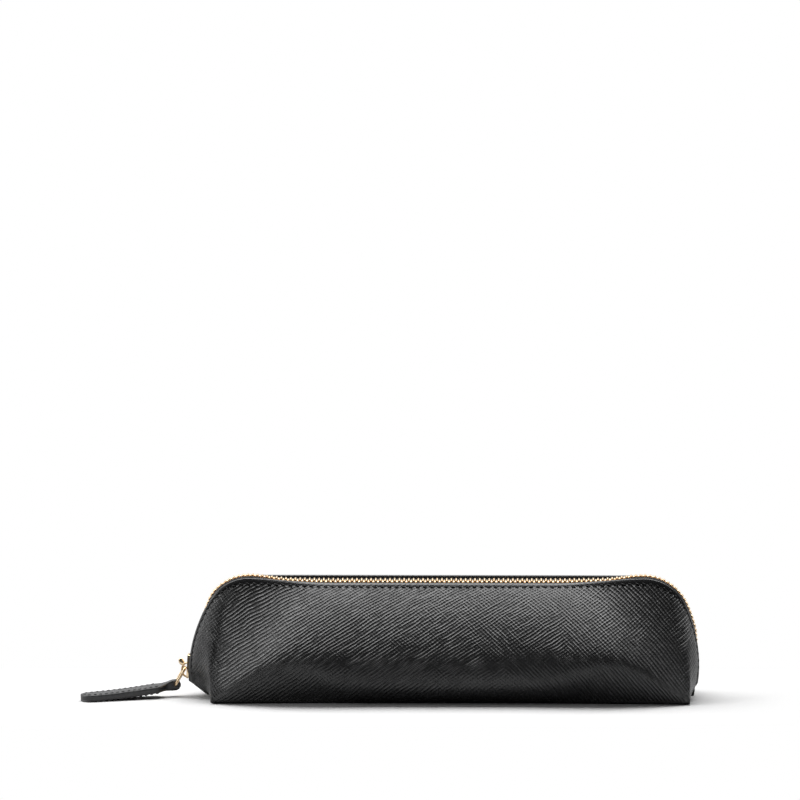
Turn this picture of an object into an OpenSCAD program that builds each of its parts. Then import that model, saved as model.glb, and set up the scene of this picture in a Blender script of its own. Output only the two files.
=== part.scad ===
// Zipped leather pen case with a flat base, boxed ends and a leather pull.
// Millimetres, +X along the case, front towards -Y, +Z up, base on Z = 0.

/* [Case] */
// Length over the two ends of the zip
case_length = 205; // [170:1:260]
// Height of the top edge above the table
case_height = 48.8; // [42:0.1:65]
// Length of the base from corner to corner
base_length = 191; // [160:1:240]
// Width of the base at its middle
base_width = 32; // [26:1:44]
// Extra base width that the pinched corners add
corner_flare = 6; // [2:0.5:10]
// How far the front bellies out beyond the base
belly = 12; // [6:0.5:16]
// Height of the belly's widest line
belly_height = 17; // [12:0.5:22]

/* [Leather] */
// Thickness of the outer leather
leather_t = 1.2; // [0.9:0.1:1.6]
// Thickness of the cloth lining
lining_t = 0.4; // [0.3:0.1:0.6]
// Thickness of the stiffening board in the base
board_t = 0.8; // [0.5:0.1:1.5]
// Thickness of the base leather
base_t = 1.2; // [0.9:0.1:2]
// Gap between pieces that move apart
soft_gap = 0.3; // [0.25:0.05:0.5]

/* [Zip opening] */
// Width of the opening between the two leather edges
slot_width = 8.8; // [8.6:0.1:12]
// Radius of the rounded top corners
corner_r = 19; // [15:0.5:24]
// Angle that the top corner at the slider's end turns through
left_turn = 59; // [55:1:70]
// Angle that the top corner at the far end turns through
right_turn = 66; // [58:1:72]
// Radius of the curved ends
side_r = 60; // [50:1:80]
// Height above the table where the zip ends
zip_end = 7.2; // [6:0.2:9]
// How far the soft case leans towards the slider's end above its base
sway = 2.7; // [0:0.1:4]

/* [Zip] */
// Distance from one tooth to the next on the same tape
tooth_pitch = 1.9; // [1.8:0.05:2.4]
// Thickness of a tooth along the zip
tooth_t = 0.8; // [0.6:0.05:0.85]
// Height of a tooth through the zip
tooth_h = 1.9; // [1.6:0.1:2.2]
// Reach of a tooth from the middle of the zip to its root
tooth_root = 2.1; // [1.8:0.1:2.4]
// Reach of a tooth past the middle of the zip
tooth_head = 0.45; // [0.3:0.05:0.6]
// Thickness of the zip tape
tape_t = 0.4; // [0.3:0.05:0.5]

/* [Slider] */
// Length of the slider body
slider_length = 9.6; // [8:0.1:12]
// Width of the slider across its shoulders
slider_width = 7.4; // [7:0.1:8.2]
// Thickness of one slider plate
plate_t = 0.65; // [0.5:0.05:0.9]
// Width of the bridge that holds the link
bridge_width = 1.7; // [1.4:0.1:2]
// Wall of the bridge
bridge_t = 0.6; // [0.5:0.05:0.9]

/* [Pull] */
// Thickness of the link's rod
link_rod = 1; // [0.8:0.05:1.2]
// Width of the link between rod centres
link_width = 4.6; // [4:0.1:6]
// Length of the link between rod centres
link_length = 8.1; // [7:0.1:14]
// Angle of the link below level
link_drop = 60; // [45:1:80]
// Sideways swing of the link at rest
link_yaw = 6; // [0:1:10]
// Length of the leather tab from the link to its tip
tab_length = 39; // [30:1:60]
// Width of the leather tab
tab_width = 8.6; // [7:0.1:12]
// Thickness of the folded leather tab
tab_t = 2.6; // [2:0.1:3.2]
// Sideways swing of the tab at rest
tab_yaw = 18; // [0:1:22]

/* [Stitching] */
// Distance from one stitch to the next
stitch_pitch = 2.8; // [2:0.1:4]
// Thickness of the thread
thread_d = 0.6; // [0.4:0.05:0.8]
// Distance of the stitch row from the leather's edge
stitch_inset = 3.6; // [2.5:0.1:5]

/* [Hidden] */

leather_colour = [0.045, 0.047, 0.052];
lining_colour = [0.10, 0.11, 0.14];
thread_colour = [0.02, 0.02, 0.025];
tape_colour = [0.03, 0.03, 0.035];
gold = [0.86, 0.68, 0.45];
board_colour = [0.45, 0.43, 0.40];
steel = [0.7, 0.7, 0.72];

half_slot = slot_width / 2;
deg = 180 / PI;

// ---- The zip's arch in the X-Z plane, followed by length from the top centre. ----
// The line is the outer surface of the leather edges; "deep" moves inwards from it.
// Lists hold the slider's end first and the far end second; "end" picks one.
corner_turns = [left_turn, right_turn];
straights = [for (t = corner_turns) case_length / 2 - corner_r * sin(t) - side_r * (1 - sin(t))];
corner_lens = corner_r * corner_turns / deg;
corner_z = case_height - corner_r;
side_cs = [for (end = [0, 1]) let (t = corner_turns[end])
    [straights[end], corner_z] + (corner_r - side_r) * [sin(t), cos(t)]];
// The zip ends where the wide arc comes down to its height.
end_turns = [for (c = side_cs) acos((zip_end - c.y) / side_r)];
arch_lens = straights + corner_lens + side_r / deg * (end_turns - corner_turns);

function end_of(s) = s < 0 ? 0 : 1;
function turned(s, end) = let (past = s - straights[end])
    past <= 0 ? 0 :
    past <= corner_lens[end] ? past / corner_r * deg :
    corner_turns[end] + (past - corner_lens[end]) / side_r * deg;
// Angle of the arch's outward direction from straight up; negative on the left.
function lean(s) = sign(s) * turned(abs(s), end_of(s));
function end_point(s, end, deep) = let (a = turned(s, end), past = s - straights[end])
    past <= 0 ? [s, case_height - deep] :
    past <= corner_lens[end] ? [straights[end], corner_z] + (corner_r - deep) * [sin(a), cos(a)] :
    side_cs[end] + (side_r - deep) * [sin(a), cos(a)];
function arch(s, deep = 0) = let (p = end_point(abs(s), end_of(s), deep))
    [(s < 0 ? -p.x : p.x) - sway, p.y];

// ---- The base outline: waisted sides, pinched corners, nearly straight ends. ----
base_z = base_t + soft_gap;
half_base = base_length / 2;
end_bow = 0.8;
function side_y(x, inset) = base_width / 2 + corner_flare / 2 * pow(x / half_base, 2) - inset;
// Part of the base edge that faces the viewer, f from 0 at the middle to 1 at the corner.
function base_front(f, inset = 0) = let (x = f * (half_base - inset)) [x, -side_y(x, inset)];
// Part of the base edge across the end, e from 0 at the corner to 1 under the zip's slot.
function base_end(e, inset = 0) = let (x = half_base - inset)
    [x + end_bow * sin(90 * e), -side_y(x, inset) * (1 - e) - half_slot * e];

// ---- The wall: curved ribs that run from the base edge up to the zip's edge. ----
// The rib parameter r runs 0 at the middle, 1 at the pinched corner, 2 at the end's centre.
ridge_turn = 27;
ridges = [for (flat = straights) flat + corner_r * ridge_turn / deg];
knee_run = 42;
end_belly = 1.6;
end_flare = 3;
end_knee = 13;
function ease(t) = sin(90 * min(max(t, 0), 1));
function rib_s(u) = let (end = end_of(u), r = abs(u))
    sign(u) * (r <= 1 ? r * ridges[end] : ridges[end] + (r - 1) * (arch_lens[end] - ridges[end]));
function rib_foot(u) = let (r = abs(u), p = r <= 1 ? base_front(r) : base_end(r - 1))
    [sign(u) * p.x, p.y, base_z];
function rib_head(u) = let (p = arch(rib_s(u))) [p.x, -half_slot, p.y];
function front_knee(b) = let (full = ease((half_base - abs(b.x)) / knee_run))
    [b.x, b.y - belly * full, b.z + (belly_height - base_z) * full];
function end_knee_at(e, b, h, way) = let (
        rise = end_knee * sin(180 * pow(e, 0.75)), reach = min(1, rise / (h.z - b.z)))
    [b.x + (h.x - b.x) * reach + way * end_belly * sin(180 * e), b.y * 1.08 - end_flare * e * e, b.z + rise];
function rib_knee(u) = abs(u) <= 1 ? front_knee(rib_foot(u)) :
    end_knee_at(min(abs(u) - 1, 1), rib_foot(u), rib_head(u), sign(u));
// How hard a rib is drawn to its knee: crisp beside the corners, full in the middle.
low_pull = 0.97;
function high_pull(u) = abs(u) <= 1 ? 0.7 : 0.55;
// The whole front wall, u from -2 at the left end to 2 at the right end, v from the base up to the zip.
function wall(u, v) = let (
        p0 = rib_foot(u), k = rib_knee(u), p3 = rib_head(u),
        p1 = p0 + low_pull * (k - p0), p2 = p3 + high_pull(u) * (k - p3), w = 1 - v)
    w * w * w * p0 + 3 * w * w * v * p1 + 3 * w * v * v * p2 + v * v * v * p3;
step = 0.01;
function wall_normal(u, v) = let (
        along = wall(min(u + step, 2), v) - wall(max(u - step, -2), v),
        up = wall(u, min(v + step, 1)) - wall(u, max(v - step, 0)),
        n = cross(along, up))
    n / norm(n);
function sunk(u, v, depth) = let (p = wall(u, v) - depth * wall_normal(u, v)) [p.x, p.y, max(p.z, base_z)];

// Ribs stand close together at the corners, where the wall bends most.
front_ribs = 9;
end_ribs = 8;
rib_rows = 9;
half_us = concat([for (i = [0 : front_ribs - 1]) 1 - pow(1 - i / front_ribs, 1.7)],
                 [for (i = [0 : end_ribs]) 1 + pow(i / end_ribs, 1.3)]);
us = concat([for (i = [len(half_us) - 1 : -1 : 1]) -half_us[i]], half_us);
function row_v(j, v0, v1) = v0 + (v1 - v0) * j / rib_rows;

// A closed sheet between two depths under the wall's surface.
module sheet(near, far, v0 = 0, v1 = 1) {
    nu = len(us);
    nv = rib_rows + 1;
    outer = [for (u = us) for (j = [0 : rib_rows]) sunk(u, row_v(j, v0, v1), near)];
    inner = [for (u = us) for (j = [0 : rib_rows]) sunk(u, row_v(j, v0, v1), far)];
    m = nu * nv;
    function at(i, j) = i * nv + j;
    skin = [for (i = [0 : nu - 2]) for (j = [0 : nv - 2]) each [
        [at(i, j), at(i, j + 1), at(i + 1, j + 1)], [at(i, j), at(i + 1, j + 1), at(i + 1, j)],
        [m + at(i, j), m + at(i + 1, j + 1), m + at(i, j + 1)],
        [m + at(i, j), m + at(i + 1, j), m + at(i + 1, j + 1)]]];
    rims = [for (i = [0 : nu - 2]) each [
        [at(i, 0), at(i + 1, 0), m + at(i + 1, 0)], [at(i, 0), m + at(i + 1, 0), m + at(i, 0)],
        [at(i, nv - 1), m + at(i + 1, nv - 1), at(i + 1, nv - 1)],
        [at(i, nv - 1), m + at(i, nv - 1), m + at(i + 1, nv - 1)]]];
    ends = [for (j = [0 : nv - 2]) each [
        [at(0, j), m + at(0, j), m + at(0, j + 1)], [at(0, j), m + at(0, j + 1), at(0, j + 1)],
        [at(nu - 1, j), at(nu - 1, j + 1), m + at(nu - 1, j + 1)],
        [at(nu - 1, j), m + at(nu - 1, j + 1), m + at(nu - 1, j)]]];
    polyhedron(concat(outer, inner), concat(skin, rims, ends), convexity = 6);
}

// ---- Base ----
base_steps = 14;
function quarter(inset) = concat(
    [for (i = [0 : base_steps]) base_front(i / base_steps, inset)],
    [for (i = [1 : 4]) base_end(i / 4, inset)]);
function outline(inset) = let (q = quarter(inset), n = len(q)) concat(
    q,
    [for (i = [n - 2 : -1 : 0]) [q[i].x, -q[i].y]],
    [for (i = [1 : n - 1]) [-q[i].x, -q[i].y]],
    [for (i = [n - 2 : -1 : 1]) [-q[i].x, q[i].y]]);
board_inset = leather_t + lining_t + 2 * soft_gap + 0.6;

module base_leather() {
    color(leather_colour) linear_extrude(base_t) polygon(outline(0));
}
module base_board() {
    color(board_colour) translate([0, 0, base_t])
        linear_extrude(board_t) polygon(outline(board_inset));
}
module base_lining() {
    color(lining_colour) translate([0, 0, base_t + board_t])
        linear_extrude(lining_t) polygon(outline(board_inset));
}

// ---- Walls ----
lining_gap = 0.25;
module front_leather() {
    color(leather_colour) sheet(0, leather_t);
}
module front_lining() {
    color(lining_colour) sheet(leather_t + lining_gap, leather_t + lining_gap + lining_t, 0.02, 0.86);
}
module back_leather() {
    mirror([0, 1, 0]) front_leather();
}
module back_lining() {
    mirror([0, 1, 0]) front_lining();
}

// ---- Zip ----
chain_deep = tooth_h / 2 + 0.1;
park_z = 12.3;
park_turn = acos((park_z - side_cs[0].y) / (side_r - chain_deep));
park_s = straights[0] + corner_lens[0] + side_r * (park_turn - left_turn) / deg;
// Stands children on the chain at length s: X across, Y outwards, Z along it.
module on_chain(s) {
    p = arch(s, chain_deep);
    a = lean(s);
    multmatrix([[0, sin(a), cos(a), p.x], [1, 0, 0, 0], [0, cos(a), -sin(a), p.y], [0, 0, 0, 1]])
        children();
}
tooth_profile = [
    [-tooth_root, -0.38 * tooth_h], [-tooth_root + 0.35, -0.5 * tooth_h], [-0.35, -0.5 * tooth_h],
    [tooth_head - 0.2, -0.36 * tooth_h], [tooth_head, -0.2 * tooth_h], [tooth_head, 0.2 * tooth_h],
    [tooth_head - 0.2, 0.36 * tooth_h], [-0.35, 0.5 * tooth_h], [-tooth_root + 0.35, 0.5 * tooth_h],
    [-tooth_root, 0.38 * tooth_h]];
tape_play = 0.08;
module tooth() {
    linear_extrude(tooth_t, center = true) difference() {
        polygon(tooth_profile);
        // The legs clamp round the bead of the tape.
        translate([-tooth_root - 0.1, -tape_t / 2 - tape_play]) square([0.75, tape_t + 2 * tape_play]);
    }
}
first_s = -park_s + 0.9;
last_s = arch_lens[1] - 9.5;
tooth_count = floor((last_s - first_s) / tooth_pitch);
module teeth(offset_s) {
    color(gold) for (k = [0 : tooth_count - 1])
        on_chain(first_s + offset_s + k * tooth_pitch) tooth();
}
module front_teeth() {
    teeth(0);
}
module back_teeth() {
    mirror([0, 1, 0]) teeth(tooth_pitch / 2);
}

// A tape lies flat beside the teeth and past the slider, then dives behind the leather's edge.
tape_edge = tooth_root - 0.62;
tape_dip = 0.9;
tape_dive = 0.05;
tape_turn = 0.97;
tape_hem = 0.84;
tape_steps = 60;
tape_under = leather_t + lining_gap + 2 * lining_t;
function wall_u(s) = let (a = abs(s), end = end_of(s), ridge = ridges[end])
    sign(s) * (a <= ridge ? a / ridge : 1 + (a - ridge) / (arch_lens[end] - ridge));
// Behind the lining, and clear of the slider's sides.
function behind(u, v, more) = let (p = sunk(u, v, tape_under + more))
    [p.x, min(p.y, more - tape_t - slider_width / 2 - soft_gap), p.z];
module front_tape() {
    ring = 8;
    function section(s) = let (
            a = lean(s), u = wall_u(s), lip = tape_t / 2 * [sin(a), 0, cos(a)],
            mid = arch(s, chain_deep), c = [mid.x, 0, mid.y], edge = c - [0, tape_edge, 0],
            dive = c - tape_dip * lip + [0, sunk(u, 1, leather_t).y + tape_dive, 0])
        [edge + lip, dive + lip, behind(u, tape_turn, 0), behind(u, tape_hem, 0),
         behind(u, tape_hem, tape_t), behind(u, tape_turn, tape_t), dive - lip, edge - lip];
    left = 1 - arch_lens[0];
    right = arch_lens[1] - 1;
    pts = [for (i = [0 : tape_steps]) each section(left + i * (right - left) / tape_steps)];
    sides = [for (i = [0 : tape_steps - 1]) for (k = [0 : ring - 1])
        let (a = i * ring + k, b = i * ring + (k + 1) % ring)
        each [[a, b, b + ring], [a, b + ring, a + ring]]];
    end = tape_steps * ring;
    // Each end is three quads across the tape.
    caps = [for (k = [0 : 2]) let (a = k, b = k + 1, c = ring - 2 - k, d = ring - 1 - k) each [
        [d, c, b], [d, b, a], [end + a, end + b, end + c], [end + a, end + c, end + d]]];
    color(tape_colour) polyhedron(pts, concat(sides, caps), convexity = 6);
}
module back_tape() {
    mirror([0, 1, 0]) front_tape();
}

// Top stops crimp on the tapes below the slider; the bottom stop closes the other end.
stop_len = 1.6;
module top_stop() {
    color(gold) on_chain(-park_s - 3.4) translate([-tape_edge - 0.75, 0, 0]) difference() {
        translate([-0.55, -0.7, -stop_len / 2]) cube([1.5, 1.4, stop_len]);
        translate([-0.65, -tape_t / 2 - tape_play, -stop_len])
            cube([1.2, tape_t + 2 * tape_play, 2 * stop_len]);
    }
}
module front_top_stop() {
    top_stop();
}
module back_top_stop() {
    mirror([0, 1, 0]) top_stop();
}
module bottom_stop() {
    wide = 2 * tooth_root + 0.4;
    color(gold) on_chain(last_s + 2.8) difference() {
        translate([-wide / 2, -tooth_h / 2, -1.3]) cube([wide, tooth_h, 2.6]);
        for (side = [-1, 1]) translate([side * (tape_edge + 0.9) - 1, -tape_t / 2 - 0.16, -2])
            cube([2, tape_t + 0.32, 4]);
    }
}

// ---- End tabs: a leather patch that fills the slot below the tape tails at each end. ----
patch_gap = 1.6;
// Drawn with the end towards +X; "end" picks which arch it meets.
module end_patch(end) {
    foot = [half_base + end_bow, base_t];
    tip = arch((end * 2 - 1) * arch_lens[end]);
    edge = [abs(tip.x), tip.y];
    along = (edge - foot) / norm(edge - foot);
    head = edge - soft_gap * along;
    inwards = [-along.y, along.x] * leather_t;
    color(leather_colour) rotate([90, 0, 0]) linear_extrude(slot_width - 2 * patch_gap, center = true)
        polygon([foot, head, head + inwards, foot + inwards, foot - [2 * leather_t, 0]]);
}
module left_end_tab() {
    mirror([1, 0, 0]) end_patch(0);
}
module right_end_tab() {
    end_patch(1);
}

// ---- Edge stitching: short slanted threads that lie on the leather. ----
stitch_len = 0.62 * stitch_pitch;
stitch_slant = 14;
stitch_end = 5;
function stitch_v(u) = 1 - stitch_inset / (3 * high_pull(u) * norm(rib_knee(u) - rib_head(u)));
module front_stitching() {
    left = stitch_end - arch_lens[0];
    right = arch_lens[1] - stitch_end;
    count = floor((right - left) / stitch_pitch);
    color(thread_colour) for (i = [0 : count]) {
        s = left + i * (right - left) / count;
        u = wall_u(s);
        v = stitch_v(u);
        n = wall_normal(u, v);
        t = wall(u + step, v) - wall(u - step, v);
        along = (t - (t * n) * n) / norm(t - (t * n) * n);
        side = cross(n, along);
        way = cos(stitch_slant) * along + sin(stitch_slant) * side;
        across = cross(way, n);
        p = wall(u, v) + (thread_d / 2 + 0.08) * n;
        turn = [for (k = [0 : 2]) [n[k], across[k], way[k], p[k]]];
        multmatrix(concat(turn, [[0, 0, 0, 1]]))
            cylinder(h = stitch_len, d = thread_d, center = true, $fn = 16);
    }
}
module back_stitching() {
    mirror([0, 1, 0]) front_stitching();
}

// ---- Slider, drawn flat and stood on the chain: X to the front, Y up the chain, Z outwards. ----
plate_gap = tooth_h / 2 + 0.3;
plate_top = plate_gap + plate_t;
tail_half = slider_width / 2 - 0.75;
flange_wall = 0.6;
flange_gap = tape_t / 2 + 0.42;
module at_slider() {
    p = arch(-park_s, chain_deep);
    a = lean(-park_s);
    multmatrix([[0, cos(a), sin(a), p.x], [-1, 0, 0, 0], [0, -sin(a), cos(a), p.y], [0, 0, 0, 1]])
        children();
}
// Outline with round shoulders at the bottom and a narrower tail at the top.
function slider_side(inset, reach) = let (
        w = slider_width / 2 - inset, t = tail_half - inset, h = slider_length / 2 + reach)
    concat([for (a = [-90 : 22.5 : 0]) [w - 1.5 + 1.5 * cos(a), -h + 1.5 + 1.5 * sin(a)]],
           [for (k = [0 : 0.25 : 1]) [t + (w - t) * (1 + cos(180 * k)) / 2, -0.6 + 2.2 * k]],
           [for (a = [0 : 30 : 90]) [t - 0.6 + 0.6 * cos(a), h - 0.6 + 0.6 * sin(a)]]);
function slider_outline(inset = 0, reach = 0) = let (s = slider_side(inset, reach), n = len(s))
    concat(s, [for (i = [n - 1 : -1 : 0]) [-s[i].x, s[i].y]]);
lock_y = 0.2;
lock_d = 0.7;
module slider_body() {
    color(gold) at_slider() difference() {
        union() {
            for (side = [-1, 1]) {
                translate([0, 0, side > 0 ? plate_gap : -plate_top])
                    linear_extrude(plate_t) polygon(slider_outline());
                translate([0, 0, side > 0 ? flange_gap : -plate_gap])
                    linear_extrude(plate_gap - flange_gap) difference() {
                        polygon(slider_outline());
                        polygon(slider_outline(flange_wall, 1.6));
                    }
            }
            // The wedge that parts the teeth.
            translate([0, 0, -plate_gap]) linear_extrude(2 * plate_gap)
                polygon([[0, -0.9], [-0.7, -3.2], [-0.6, -4.1], [0.6, -4.1], [0.7, -3.2]]);
        }
        translate([0, lock_y, 0]) cylinder(h = plate_top + 1, d = lock_d + 0.3, $fn = 24);
    }
}

// The bridge is an arch over the outer plate, with the link's rod through it.
rod_lift = link_rod / 2 + 0.35;
bridge_in = [2.4, rod_lift + link_rod / 2 + 0.3];
bridge_y = -1.6;
pivot_y = bridge_y + 0.9;
function arc_points(size, steps = 12) = [for (i = [0 : steps]) let (a = 180 * i / steps)
    [size.x * cos(a), size.y * sin(a)]];
// A small oval knob stands on the arch's upper shoulder.
knob_size = [1.1, 1.55];
module slider_bridge() {
    color(gold) at_slider() translate([-bridge_width / 2, bridge_y, plate_top]) rotate([90, 0, 90])
        linear_extrude(bridge_width) {
            difference() {
                polygon(arc_points(bridge_in + [bridge_t, bridge_t]));
                polygon(concat([[bridge_in.x, -1]], arc_points(bridge_in), [[-bridge_in.x, -1]]));
            }
            translate([bridge_in.x + 0.75, bridge_in.y + bridge_t])
                rotate(-60) scale(knob_size) circle(r = 1, $fn = 24);
        }
}

// A leaf under the link, with a pin down through the plate that holds the teeth.
leaf_t = 0.15;
module slider_lock_spring() {
    color(steel) at_slider() {
        translate([-0.5, bridge_y - bridge_in.x + 0.3, plate_top])
            cube([1, 2 * bridge_in.x - 0.6, leaf_t]);
        translate([0, lock_y, tooth_h / 2 + 0.12])
            cylinder(h = plate_top - tooth_h / 2 - 0.12 + leaf_t, d = lock_d, $fn = 24);
    }
}

// ---- Link: a rounded loop of rod through the bridge, drawn flat and pointing to -X. ----
slider_p = arch(-park_s, chain_deep);
slider_a = lean(-park_s);
slider_out = [sin(slider_a), cos(slider_a)];
slider_up = [cos(slider_a), -sin(slider_a)];
pivot_xz = slider_p + (plate_top + rod_lift) * slider_out + pivot_y * slider_up;
pivot = [pivot_xz.x, 0, pivot_xz.y];
link_bend = 1.15;
module link_place() {
    translate(pivot) rotate([0, 0, link_yaw]) rotate([0, -link_drop, 0]) children();
}
// A quarter bend at one corner, from the rod that runs across to the rod that runs along.
module link_corner(x, y, turn) {
    translate([x, y, 0]) rotate([0, 0, turn]) rotate_extrude(angle = 90, $fn = 32)
        translate([link_bend, 0]) circle(d = link_rod, $fn = 32);
}
module pull_link() {
    w = link_width / 2;
    color(gold) link_place() {
        for (x = [0, -link_length]) translate([x, 0, 0]) rotate([90, 0, 0])
            cylinder(h = 2 * (w - link_bend), d = link_rod, center = true, $fn = 32);
        for (y = [-w, w]) translate([-link_bend, y, 0]) rotate([0, -90, 0])
            cylinder(h = link_length - 2 * link_bend, d = link_rod, $fn = 32);
        link_corner(-link_bend, w - link_bend, 0);
        link_corner(link_bend - link_length, w - link_bend, 90);
        link_corner(link_bend - link_length, link_bend - w, 180);
        link_corner(-link_bend, link_bend - w, 270);
    }
}

// ---- Pull tab: one strap folded round the link's lower rod, drawn pointing to -X. ----
link_reach = link_length * cos(link_drop);
tab_anchor = pivot - [link_reach * cos(link_yaw), link_reach * sin(link_yaw), link_length * sin(link_drop)];
tab_hole = link_rod / 2 + 0.55;
fold_t = 1.1;
fold_r = tab_hole + fold_t;
neck_w = 2 * (link_width / 2 - link_rod / 2 - 0.45);
neck_len = 6.5;
tab_tip_lift = tab_t / 2 + 0.1;
// The strap sags from the link to lie on its tip, as part of a large circle.
tab_fall = asin((tab_anchor.z - tab_tip_lift) / tab_length);
tab_start = tab_fall * 1.75;
tab_end = 2 * tab_fall - tab_start;
tab_bend_r = tab_length / ((tab_start - tab_end) / deg);
module tab_place() {
    translate(tab_anchor) rotate([0, 0, tab_yaw]) children();
}
function tab_line(d, lift) = let (a = tab_start - d / tab_bend_r * deg)
    tab_bend_r * [sin(a) - sin(tab_start), cos(tab_start) - cos(a)] + lift * [-sin(a), cos(a)];
tab_steps = 20;
// Half thickness along the strap: it opens out round the rod.
function tab_half(d) = let (opened = d > neck_len ? 0 : (1 + cos(180 * d / neck_len)) / 2)
    tab_t / 2 + (fold_r - tab_t / 2) * opened;
function tab_edge(way) = [for (i = [0 : tab_steps]) let (d = tab_length * i / tab_steps)
    tab_line(d, way * tab_half(d))];
module tab_side() {
    difference() {
        union() {
            circle(r = fold_r, $fn = 48);
            polygon(concat(tab_edge(1), [for (i = [tab_steps : -1 : 0]) tab_edge(-1)[i]]));
        }
        circle(r = tab_hole, $fn = 48);
    }
}
tip_r = tab_width / 2;
module tab_plan() {
    translate([tip_r - tab_length, 0]) circle(r = tip_r, $fn = 48);
    translate([-tab_length + tip_r, -tip_r]) square([tab_length - tip_r - neck_len, tab_width]);
    polygon([[-neck_len - 0.01, -tip_r], [-neck_len + 2.2, -neck_w / 2], [fold_r + 1, -neck_w / 2],
             [fold_r + 1, neck_w / 2], [-neck_len + 2.2, neck_w / 2], [-neck_len - 0.01, tip_r]]);
}
module pull_tab() {
    color(leather_colour) tab_place() intersection() {
        rotate([90, 0, 0]) linear_extrude(tab_width + 2, center = true) tab_side();
        translate([0, 0, -tab_length]) linear_extrude(2 * tab_length) tab_plan();
    }
}
tab_stitch_pitch = 2.3;
tab_stitch_inset = 1.3;
module pull_tab_stitching() {
    far = tab_length - tip_r;
    near = neck_len + 1.5;
    count = floor((far - near) / tab_stitch_pitch);
    color(thread_colour) tab_place() for (side = [-1, 1]) for (i = [0 : count]) {
        d = near + (far - near) * i / count;
        p = tab_line(d, tab_t / 2 + thread_d / 2 + 0.08);
        translate([p.x, side * (tip_r - tab_stitch_inset), p.y])
            rotate([0, tab_start - d / tab_bend_r * deg - 270, 0]) rotate([stitch_slant, 0, 0])
                cylinder(h = 0.6 * tab_stitch_pitch, d = thread_d, center = true, $fn = 16);
    }
}

base_leather();
base_board();
base_lining();
front_leather();
front_lining();
front_stitching();
front_tape();
front_teeth();
front_top_stop();
back_leather();
back_lining();
back_stitching();
back_tape();
back_teeth();
back_top_stop();
bottom_stop();
left_end_tab();
right_end_tab();
slider_body();
slider_bridge();
slider_lock_spring();
pull_link();
pull_tab();
pull_tab_stitching();
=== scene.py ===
import math
import bpy
import bmesh
import numpy as np
from mathutils import Matrix, Vector


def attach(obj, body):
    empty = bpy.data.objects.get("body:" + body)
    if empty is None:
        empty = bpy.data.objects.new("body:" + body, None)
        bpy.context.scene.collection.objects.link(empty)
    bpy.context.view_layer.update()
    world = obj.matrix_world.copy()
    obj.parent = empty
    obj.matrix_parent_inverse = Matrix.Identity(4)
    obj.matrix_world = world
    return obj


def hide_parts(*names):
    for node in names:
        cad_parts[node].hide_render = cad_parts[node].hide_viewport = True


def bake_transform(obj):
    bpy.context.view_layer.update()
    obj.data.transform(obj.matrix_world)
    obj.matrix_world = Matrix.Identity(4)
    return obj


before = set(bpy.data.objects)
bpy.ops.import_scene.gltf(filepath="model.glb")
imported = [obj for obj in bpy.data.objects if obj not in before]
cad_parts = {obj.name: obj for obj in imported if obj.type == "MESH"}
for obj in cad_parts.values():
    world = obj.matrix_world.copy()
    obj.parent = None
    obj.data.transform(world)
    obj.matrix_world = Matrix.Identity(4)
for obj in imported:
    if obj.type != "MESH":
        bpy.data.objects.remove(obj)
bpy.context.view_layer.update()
mm = 0.001
scene = bpy.context.scene
print("frame loaded:", len(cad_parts), "nodes")

# Lengths in metres; x runs along the case, the front faces -y, and the angles in this table are in degrees.
# Pairs hold the slider's end, at -x, and then the far end; a run is where a change starts and how long it takes.
case = {
    "length": 205 * mm,
    "height": 48.8 * mm,
    "baseLength": 191 * mm,
    "baseWidth": 32 * mm,
    "cornerFlare": 6 * mm,
    "endBow": 0.8 * mm,
    "belly": 12 * mm,
    "bulge": 5 * mm,
    "bulgeRun": (25 * mm, 42 * mm),
    "bellyHeight": 17 * mm,
    "kneeRun": 42 * mm,
    "endBelly": 1.6 * mm,
    "endFlare": 3 * mm,
    "endKnee": 13 * mm,
    "endPuff": 0.08,
    "endFade": 0.3,
    "leather": 1.2 * mm,
    "footHeight": 1.5 * mm,
    "slot": 8.8 * mm,
    "cornerRadius": 19 * mm,
    "cornerTurns": (59, 66),
    "sideRadius": 60 * mm,
    "zipEnd": 7.2 * mm,
    "sway": 2.7 * mm,
    "ridgeTurn": 27,
    "lowPull": 0.97,
    "frontPull": 0.7,
    "endPull": 0.55,
    "parkHeight": 12.3 * mm,
    "creaseRun": 62 * mm,
    "creasePull": 8.0,
    "creaseRise": 0.42,
    "creaseRiseRun": (35 * mm, 35 * mm),
    "fullLow": 0.42,
    "fullLowRun": (26 * mm, 34 * mm),
    "ridgeRound": 0.16,
}
halfSlot = case["slot"] / 2
halfBase = case["baseLength"] / 2
cornerRadius, sideRadius = case["cornerRadius"], case["sideRadius"]
cornerTurns = np.radians(case["cornerTurns"])
straights = case["length"] / 2 - cornerRadius * np.sin(cornerTurns) - sideRadius * (1 - np.sin(cornerTurns))
cornerLens = cornerRadius * cornerTurns
cornerZ = case["height"] - cornerRadius
sideXs = straights + (cornerRadius - sideRadius) * np.sin(cornerTurns)
sideZs = cornerZ + (cornerRadius - sideRadius) * np.cos(cornerTurns)
endTurns = np.arccos((case["zipEnd"] - sideZs) / sideRadius)
archLens = straights + cornerLens + sideRadius * (endTurns - cornerTurns)
ridges = straights + cornerRadius * math.radians(case["ridgeTurn"])


def unit(a):
    # A vector over its own length.
    return a / np.linalg.norm(a, axis=-1, keepdims=True)


def ease(t):
    # Quarter of a sine: rises fast, then levels off at 1.
    return np.sin(np.clip(t, 0, 1) * math.pi / 2)


def smooth(t):
    # Slow start and slow end between 0 and 1.
    t = np.clip(t, 0, 1)
    return t * t * (3 - 2 * t)


def endOf(s):
    # 0 for the slider's end, where s is negative, and 1 for the far end.
    return (np.asarray(s) >= 0).astype(int)


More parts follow.
